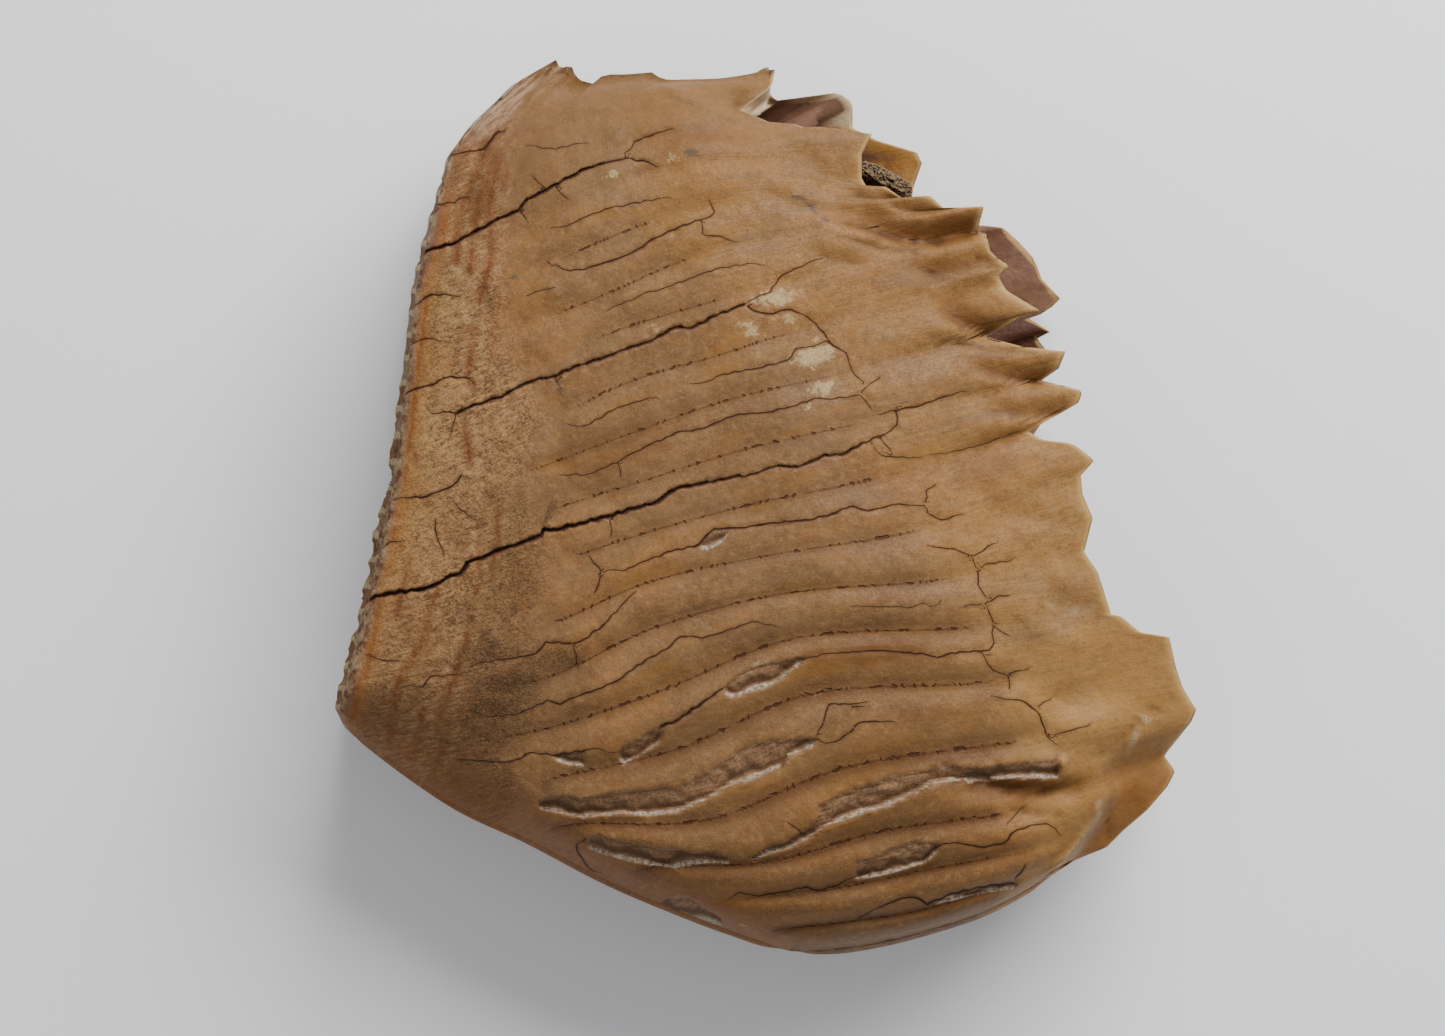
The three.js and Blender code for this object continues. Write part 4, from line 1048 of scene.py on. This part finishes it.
def rough_coats(g, f):
    """The rough band beside the chewing face: crumbs, crossed by fibres, short cracks and growth lines."""
    ring = f.edge_mm + (g.noise(f.mm, 0.045, 3, 0.5) - 0.5) * 9.0
    fibres = g.noise(g.combine(ring * 0.35, f.plate * 26.0, f.small * 1.2), 1.0, 2, 0.65)
    slope_mm = g.combine((f.east + f.north * -1.4) * 0.2, (f.east * 1.4 + f.north) * 0.62, f.up * 0.6)
    slope = g.noise(slope_mm, 1.0, 3, 0.7, 1.2)
    edge_light = f.edge_mm.step(20.0, 9.0) * f.plate.step(1.8, 3.2) * f.plate.step(10.0, 8.5)
    cluster = g.noise(f.mm, 0.5, 3, 0.8).step(0.53, 0.6) * f.middle.step(0.46, 0.56)
    two_ends = g.largest(f.plate.step(4.5, 2.0), f.plate.step(9.8, 12.5))
    worm = abs(g.noise(f.mm, 0.8, 2, 0.6, 1.8) - 0.5).step(0.022, 0.0) * f.patch.step(0.4, 0.56)
    crackle = g.noise(g.combine(ring * 0.16, f.plate * 5.5, f.up * 0.05), 1.0, 3, 0.6, 1.4)
    crackle = abs(crackle - 0.5).step(0.045, 0.0) * f.small.step(0.36, 0.5)
    near_line = f.growth + (g.noise(f.mm, 0.55, 3, 0.65) - 0.5) * 3.4
    line_on = g.noise(f.mm, 0.09, 3, 0.6).step(0.36, 0.56, 0.3)
    light_side = abs(near_line - 2.4).step(1.6, 0.2) * fibres.step(0.42, 0.6)
    olive = f.edge_mm.step(24.0, 38.0) * f.plate.step(6.5, 9.0) * f.plate.step(14.5, 12.5)
    return g.coats(
        g.mix(f.crumb.step(0.36, 0.62), (158, 114, 74), (194, 149, 101)),
        (slope.step(0.52, 0.64) * 0.4, (116, 76, 48)),
        (slope.step(0.46, 0.34) * 0.3, (194, 155, 110)),
        (edge_light * 0.55, (204, 162, 106)),
        (cluster * 0.6, (116, 74, 54)),
        (f.patch.step(0.5, 0.72) * 0.55, (132, 84, 50)),
        (f.patch.step(0.5, 0.3) * 0.5, (184, 142, 94)),
        (two_ends * 0.65, (140, 99, 68)),
        (f.hue.step(0.5, 0.66) * 0.4, (172, 114, 62)),
        (fibres.step(0.52, 0.7) * 0.45, (206, 170, 124)),
        (fibres.step(0.42, 0.3) * 0.4, (112, 76, 46)),
        (worm * 0.5, (96, 62, 40)),
        (crackle * 0.75, (96, 60, 38)),
        (light_side * 0.4, (206, 170, 124)),
        (near_line.step(3.0, 0.8) * line_on * 0.4, (146, 90, 50)),
        (near_line.step(1.0, 0.1) * line_on * 0.7, (118, 66, 38)),
        (olive * 0.3, (124, 89, 54)),
        (olive * f.crumb.step(0.48, 0.6) * 0.6, (84, 62, 42)),
    )


def edge_coats(g, f, colour):
    """Amber spots, the amber back crest and a warm tint on the steep tip painted as the warm light in its
    shade, the lip of the chewing edge and the torn slant.
    """
    amber_on = (f.amber + (f.patch - 0.5) * 0.8).step(0.1, 0.9)
    lip_mm = f.edge_mm + (g.noise(f.mm, 0.11, 3, 0.6) - 0.5) * 3.0
    by_edge = f.rough * f.plate.step(0.5, 2.5)
    edge_line = abs(lip_mm - 3.1).step(1.2, 0.2) * f.middle.step(0.42, 0.6)
    along, off = f.east + f.north * 0.9, f.east * -0.9 + f.north
    torn = g.noise(g.combine(along * 0.09, off * 0.5, f.up * 0.3), 1.0, 3, 0.7)
    return g.coats(
        colour,
        (amber_on * 0.75, (118, 74, 34)),
        (f.warm * 0.36, (166, 102, 46)),
        (lip_mm.step(9.0, 3.0) * by_edge * 0.45, (176, 114, 54)),
        (lip_mm.step(2.6, 1.4) * by_edge * 0.8, (146, 100, 78)),
        (edge_line * by_edge * 0.8, (156, 90, 40)),
        (f.slant * 0.75, g.mix(torn.step(0.4, 0.56), (146, 100, 70), (204, 170, 138))),
    )


def stain_coats(g, f, colour):
    """Dark, cream and grey stains with ragged edges."""
    breakup = f.blotch * 1.1 + f.fine * 0.7
    ragged = (f.blotch - 0.5) * 2.2 + (f.fine - 0.5) * 1.2
    specks = g.noise(f.mm, 1.7, 2, 0.75).step(0.44, 0.6) * (f.dark * breakup).step(0.12, 0.6)
    cream_on = (f.cream + ragged).step(0.52, 0.74) * f.cream.step(0.1, 0.3)
    return g.coats(
        colour,
        ((f.dark * breakup).step(0.2, 0.9) * 0.5, (88, 64, 42)),
        (specks * 0.62, (64, 48, 34)),
        (cream_on * 0.8, g.mix(f.fine.step(0.4, 0.6), (212, 186, 142), (190, 158, 112))),
        ((f.grey * breakup).step(0.3, 0.7) * 0.8, (94, 80, 68)),
    )


def seam_pits(g, f):
    """Distance off the nearest seam, the round pits along it, and the pits with lumps of dirt."""
    off_mm = abs(f.plate - g.math("ROUND", f.plate)) * 13.0
    patchy = g.noise(f.mm, 0.3, 2, 0.5)
    clump = patchy.step(0.36, 0.62, 0.45, 1.0)
    wave = (g.noise(f.mm, 0.12, 2, 0.5) - 0.5) * 6.0
    along_mm = (g.math("FRACT", f.rise * 52.0 + wave) - 0.5) * 2.9
    apart_mm = g.math("SQRT", along_mm * along_mm + off_mm * off_mm)
    pits = apart_mm.step(clump * 0.66, clump * 0.3) * patchy.step(0.34, 0.46) * f.seam_on
    lumps = g.voronoi(f.mm, 0.8).step(0.42, 0.24) * off_mm.step(clump * 0.6, clump * 0.25)
    return off_mm, pits, g.largest(pits, lumps * f.band.step(0.42, 0.6) * f.seam_on)


def seam_coats(g, f, colour, off_mm, beads):
    """A faint thread with beads of dirt along each seam, in a darker band at the back."""
    wide = (off_mm + f.small * 2.0).step(4.2, 1.0) * f.band
    grit = off_mm.step(1.8, 0.3) * f.crumb.step(0.52, 0.62) * f.band.step(0.6, 1.0)
    thread = off_mm.step(0.4, 0.05) * g.noise(f.mm, 0.35, 3).step(0.32, 0.5) * f.seam_on
    return g.coats(
        colour,
        (wide * 0.55, (92, 60, 33)),
        (grit * 0.6, (64, 40, 24)),
        (thread * f.band.step(0.1, 0.8, 0.55, 0.9), (100, 60, 32)),
        (beads * f.band.step(0.15, 0.6, 0.7, 0.9), (84, 47, 27)),
    )


def fold_coats(g, f, colour):
    """Painted shade in the folds of the root, over the brown tint of the dentine, and darker painted shade
    along their creases; painted highlights along thin crests, some of them pale scratches.
    """
    return g.coats(
        colour,
        (g.math("MINIMUM", f.fold_shade, 1.0) * 0.72, (122, 77, 37)),
        (f.crease * f.patch.step(0.7, 0.4, 0.3, 1.0) * 0.8, (80, 50, 28)),
        (f.pale_line * f.fine.step(0.4, 0.52) * 0.75, (222, 196, 158)),
    )


def flake_coats(g, f, colour):
    """Floors of the flakes, streaked along the plates, with painted shadow under the top edge and above the
    pale edge, and their pale broken edges.
    """
    striae = g.noise(g.combine(f.plate * 34.0, f.rise * 8.0, 0.0), 1.0, 3, 0.7)
    floor = g.coats(
        g.mix(striae.step(0.3, 0.7), (128, 91, 62), (166, 127, 92)),
        (f.crumb.step(0.5, 0.6) * 0.5, (180, 148, 120)),
        (f.crumb.step(0.46, 0.36) * 0.4, (96, 64, 43)),
        (f.shade * 0.7, (84, 57, 40)),
    )
    chip = g.noise(f.mm, 0.9, 3, 0.7)
    pale = g.mix(chip.step(0.38, 0.62), (138, 112, 90), (208, 192, 176))
    pale = g.mix(f.pale.step(0.45, 1.0), (158, 130, 106), pale)
    pale_on = (f.pale + (chip - 0.5) * 1.7).step(0.34, 0.56) * f.middle.step(0.36, 0.5, 0.62, 0.95)
    return g.coats(colour, (f.floor, floor), (pale_on, pale))


def chewing_coats(g, f, colour):
    """The chewing face: loops of enamel round the dentine, in cement, with a crust beside the upper flank."""
    loop_width, loop_squareness = 0.25, 6.0
    to_side = g.math("POWER", abs(f.across) / 0.93, loop_squareness)
    half_loop = g.math("SQRT", g.largest(1 - to_side, 0.0)) * loop_width
    from_middle = abs(g.math("FRACT", f.plate) - 0.5)
    crimp = (g.noise(f.mm, 0.35, 3, 0.6) - 0.5) * 0.16
    to_enamel = (from_middle - half_loop) + crimp
    enamel_on = abs(to_enamel).step(0.075, 0.05) * abs(f.across).step(0.96, 0.9)
    dentine = g.mix(f.small.step(0.4, 0.62), (150, 104, 66), (118, 78, 50))
    cement = g.mix(f.crumb.step(0.4, 0.6), (138, 106, 76), (170, 140, 104))
    crust = g.coats(
        g.mix(f.crust.step(0.4, 0.54), (112, 66, 42), (178, 148, 112)),
        (f.crust.step(0.54, 0.66) * 0.8, (206, 186, 152)),
        (f.patch.step(0.54, 0.66) * 0.6, (148, 92, 58)),
    )
    face = g.coats(
        g.mix(to_enamel.step(-0.03, 0.03), dentine, cement),
        (enamel_on, g.mix(f.fine.step(0.4, 0.6), (214, 194, 156), (190, 160, 118))),
        (f.across.step(0.62, 0.86), crust),
    )
    return g.mix(f.strip, colour, face)


def root_coats(g, f, colour):
    """The open root: brown sockets with painted shade in their deep caves, a golden floor in the wide one,
    the notch's cream wall brightened with painted light, a pale rim.
    """
    in_socket = f.socket * (1 - f.strip)
    inner = g.coats(
        g.mix(f.middle.step(0.35, 0.65), (118, 82, 64), (142, 104, 82)),
        (f.patch.step(0.5, 0.7) * 0.5, (102, 66, 48)),
        (f.small.step(0.48, 0.3) * 0.3, (156, 118, 94)),
        (f.plate.step(2.6, 2.4) * 0.5, (104, 76, 62)),
        # Painted shade deep in the sockets; on the root, across holds the caves' painted shade.
        (f.across * in_socket * 0.85, (78, 42, 30)),
        (f.gold, g.mix(f.middle.step(0.4, 0.6), (168, 120, 60), (134, 84, 38))),
    )
    return g.coats(
        colour,
        (in_socket, inner),
        # The notch's wall is cream; its colours skip the studio light's scaling, a painted light that keeps
        # the shaded wall bright.
        (f.notch, g.mix(f.patch.step(0.4, 0.6), rgb(240, 205, 160), rgb(250, 226, 188))),
        (f.rim * 0.85, g.mix(f.plate.step(2.6, 2.3), (212, 176, 118), (222, 196, 158))),
    )


def crack_coats(g, f, colour):
    """Drying cracks in painted shade, the darker the wider, with painted light on one wall and painted shade
    on the other. Also returns where the cracks are open.
    """
    half = f.crack_width * 0.5
    past_edge = abs(f.crack_side) - half
    near = f.crack_near.step(1.1, 0.8)
    is_open = past_edge.step(0.11, -0.08) * near * f.crack_width.step(0.05, 0.4, 0.75, 1.0)
    halo = past_edge.step(1.1, 0.0) * f.crack_near.step(2.4, 1.4)
    from_side = f.crack_side / g.largest(half, 0.05)
    # Painted light on one wall of each crack and painted shade on the other.
    wall = g.mix(from_side.step(-0.9, 0.1), (118, 72, 50), (60, 37, 26))
    inner = g.coats(
        g.mix(f.crack_width.step(0.22, 0.62), (90, 55, 34), wall),
        (f.crumb.step(0.56, 0.66) * 0.4, (112, 92, 76)),
    )
    return g.coats(colour, (halo * 0.25, (98, 62, 36)), (is_open, inner)), is_open


def tooth_material():
    g = Graph("fossil_tooth")
    f = tooth_fields(g)
    off_mm, pits, beads = seam_pits(g, f)
    colour = edge_coats(g, f, g.mix(f.rough, crown_coats(g, f), rough_coats(g, f)))
    colour = seam_coats(g, f, stain_coats(g, f, colour), off_mm, beads)
    colour = flake_coats(g, f, fold_coats(g, f, colour))
    colour = root_coats(g, f, chewing_coats(g, f, colour))
    colour, is_open = crack_coats(g, f, colour)
    g.put(g.shader.inputs["Base Color"], colour)

    # Sound surfaces have a low satin, and rough and broken ones are matt.
    matt = g.largest(g.largest(f.rough, f.strip), g.largest(f.floor, is_open)) * 0.8
    g.put(g.shader.inputs["Roughness"], g.largest(f.fine.step(0.3, 0.7, 0.44, 0.58), matt))
    g.shader.inputs["Specular IOR Level"].default_value = 0.16

    height = f.fine * 0.06 + f.small * (f.rough * 0.1 + 0.3) + f.rough * f.crumb * 0.55
    height = height + f.strip * f.crust * 1.2 + f.streak * (f.root * 0.1 + 0.04)
    g.bump(height + (f.crease + pits) * -0.35 + is_open * -0.5)
    return g.material


def bone_material():
    g = Graph("spongy_bone")
    mm = g.millimetres()
    fine = g.noise(mm, 1.5, 4, 0.65)
    web = ((1.0 - g.voronoi(mm, 1.15)) + fine * 0.4).step(0.78, 1.0)
    colour = g.mix(web, (132, 106, 76), (64, 47, 34))
    g.put(g.shader.inputs["Base Color"], g.mix(fine.step(0.55, 0.75) * 0.5, colour, (168, 140, 104)))
    g.shader.inputs["Roughness"].default_value = 0.92
    g.bump(web * -0.7)
    return g.material


tooth = bpy.data.objects.new("molar_surface", tooth_mesh())
bpy.context.collection.objects.link(tooth)
tooth.data.materials.append(tooth_material())
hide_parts("molar")
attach(tooth, "root")


def bone_piece():
    """A lump of spongy bone: a boxy ball, uneven and pitted, turned to lean on the socket's wall."""
    half_size_mm, fill, pore_mm, lean = np.array([10.5, 3.8, 15]), 0.84, 1.5, -0.48
    bpy.ops.mesh.primitive_ico_sphere_add(subdivisions=7, radius=1)
    bone = bpy.context.object
    bone.name = "spongy_bone_scrap"
    mesh = bone.data
    ball = np.empty(len(mesh.vertices) * 3, np.float32)
    mesh.vertices.foreach_get("co", ball)
    ball = ball.reshape(-1, 3).astype(float)
    boxy = 1 / np.abs(ball).max(1) ** 0.35
    uneven = 1 + 0.12 * fbm(ball * 1.8, 3, 2)
    lump = ball * (boxy * uneven * fill)[:, None] * half_size_mm
    pores = np.clip(fbm(lump * 0.8, 2, 5) + 0.15, 0, 1)
    x, y, z = (lump - ball * (pores * pore_mm)[:, None]).T
    c, s = math.cos(lean), math.sin(lean)
    low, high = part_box("bone_scrap")
    places = columns(c * x - s * y, s * x + c * y, z) / 1000 + np.array((low + high) / 2)
    places = np.clip(places, np.array(low), np.array(high))
    mesh.vertices.foreach_set("co", places.astype(np.float32).ravel())
    mesh.polygons.foreach_set("use_smooth", np.ones(len(mesh.polygons), bool))
    mesh.update()
    mesh.materials.append(bone_material())
    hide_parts("bone_scrap")
    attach(bone, "root")


bone_piece()


def floor():
    bpy.ops.mesh.primitive_plane_add(size=6)
    plane = bpy.context.object
    plane.name = "floor"
    g = Graph("pale_table")
    g.shader.inputs["Base Color"].default_value = rgb(238, 238, 240)
    g.shader.inputs["Roughness"].default_value = 0.7
    plane.data.materials.append(g.material)


def area_light(name, place, size, power):
    data = bpy.data.lights.new(name, "AREA")
    data.shape = "RECTANGLE"
    data.size, data.size_y = size
    data.energy = power
    lamp = bpy.data.objects.new(name, data)
    lamp.location = place
    middle_of_tooth = Vector((0, 0, 0.03))
    lamp.rotation_euler = (middle_of_tooth - Vector(place)).to_track_quat("-Z", "Y").to_euler()
    bpy.context.collection.objects.link(lamp)


floor()
area_light("window", (0.42, 0.86, 0.86), (1.05, 0.75), 31)
area_light("fill", (-1.2, -0.6, 1.5), (1.5, 1.5), 3.5)
world = bpy.data.worlds.new("studio")
world.use_nodes = True
background = world.node_tree.nodes["Background"]
background.inputs["Color"].default_value = (0.95, 0.97, 1, 1)
background.inputs["Strength"].default_value = 0.46
bpy.context.scene.world = world

camera_data = bpy.data.cameras.new("camera")
camera_data.sensor_width = 36
camera_data.lens = 97
camera = bpy.data.objects.new("camera", camera_data)
camera.location = (-CENTRE[0] / 1000, -CENTRE[1] / 1000, EYE_Z / 1000)
bpy.context.collection.objects.link(camera)
bpy.context.scene.camera = camera
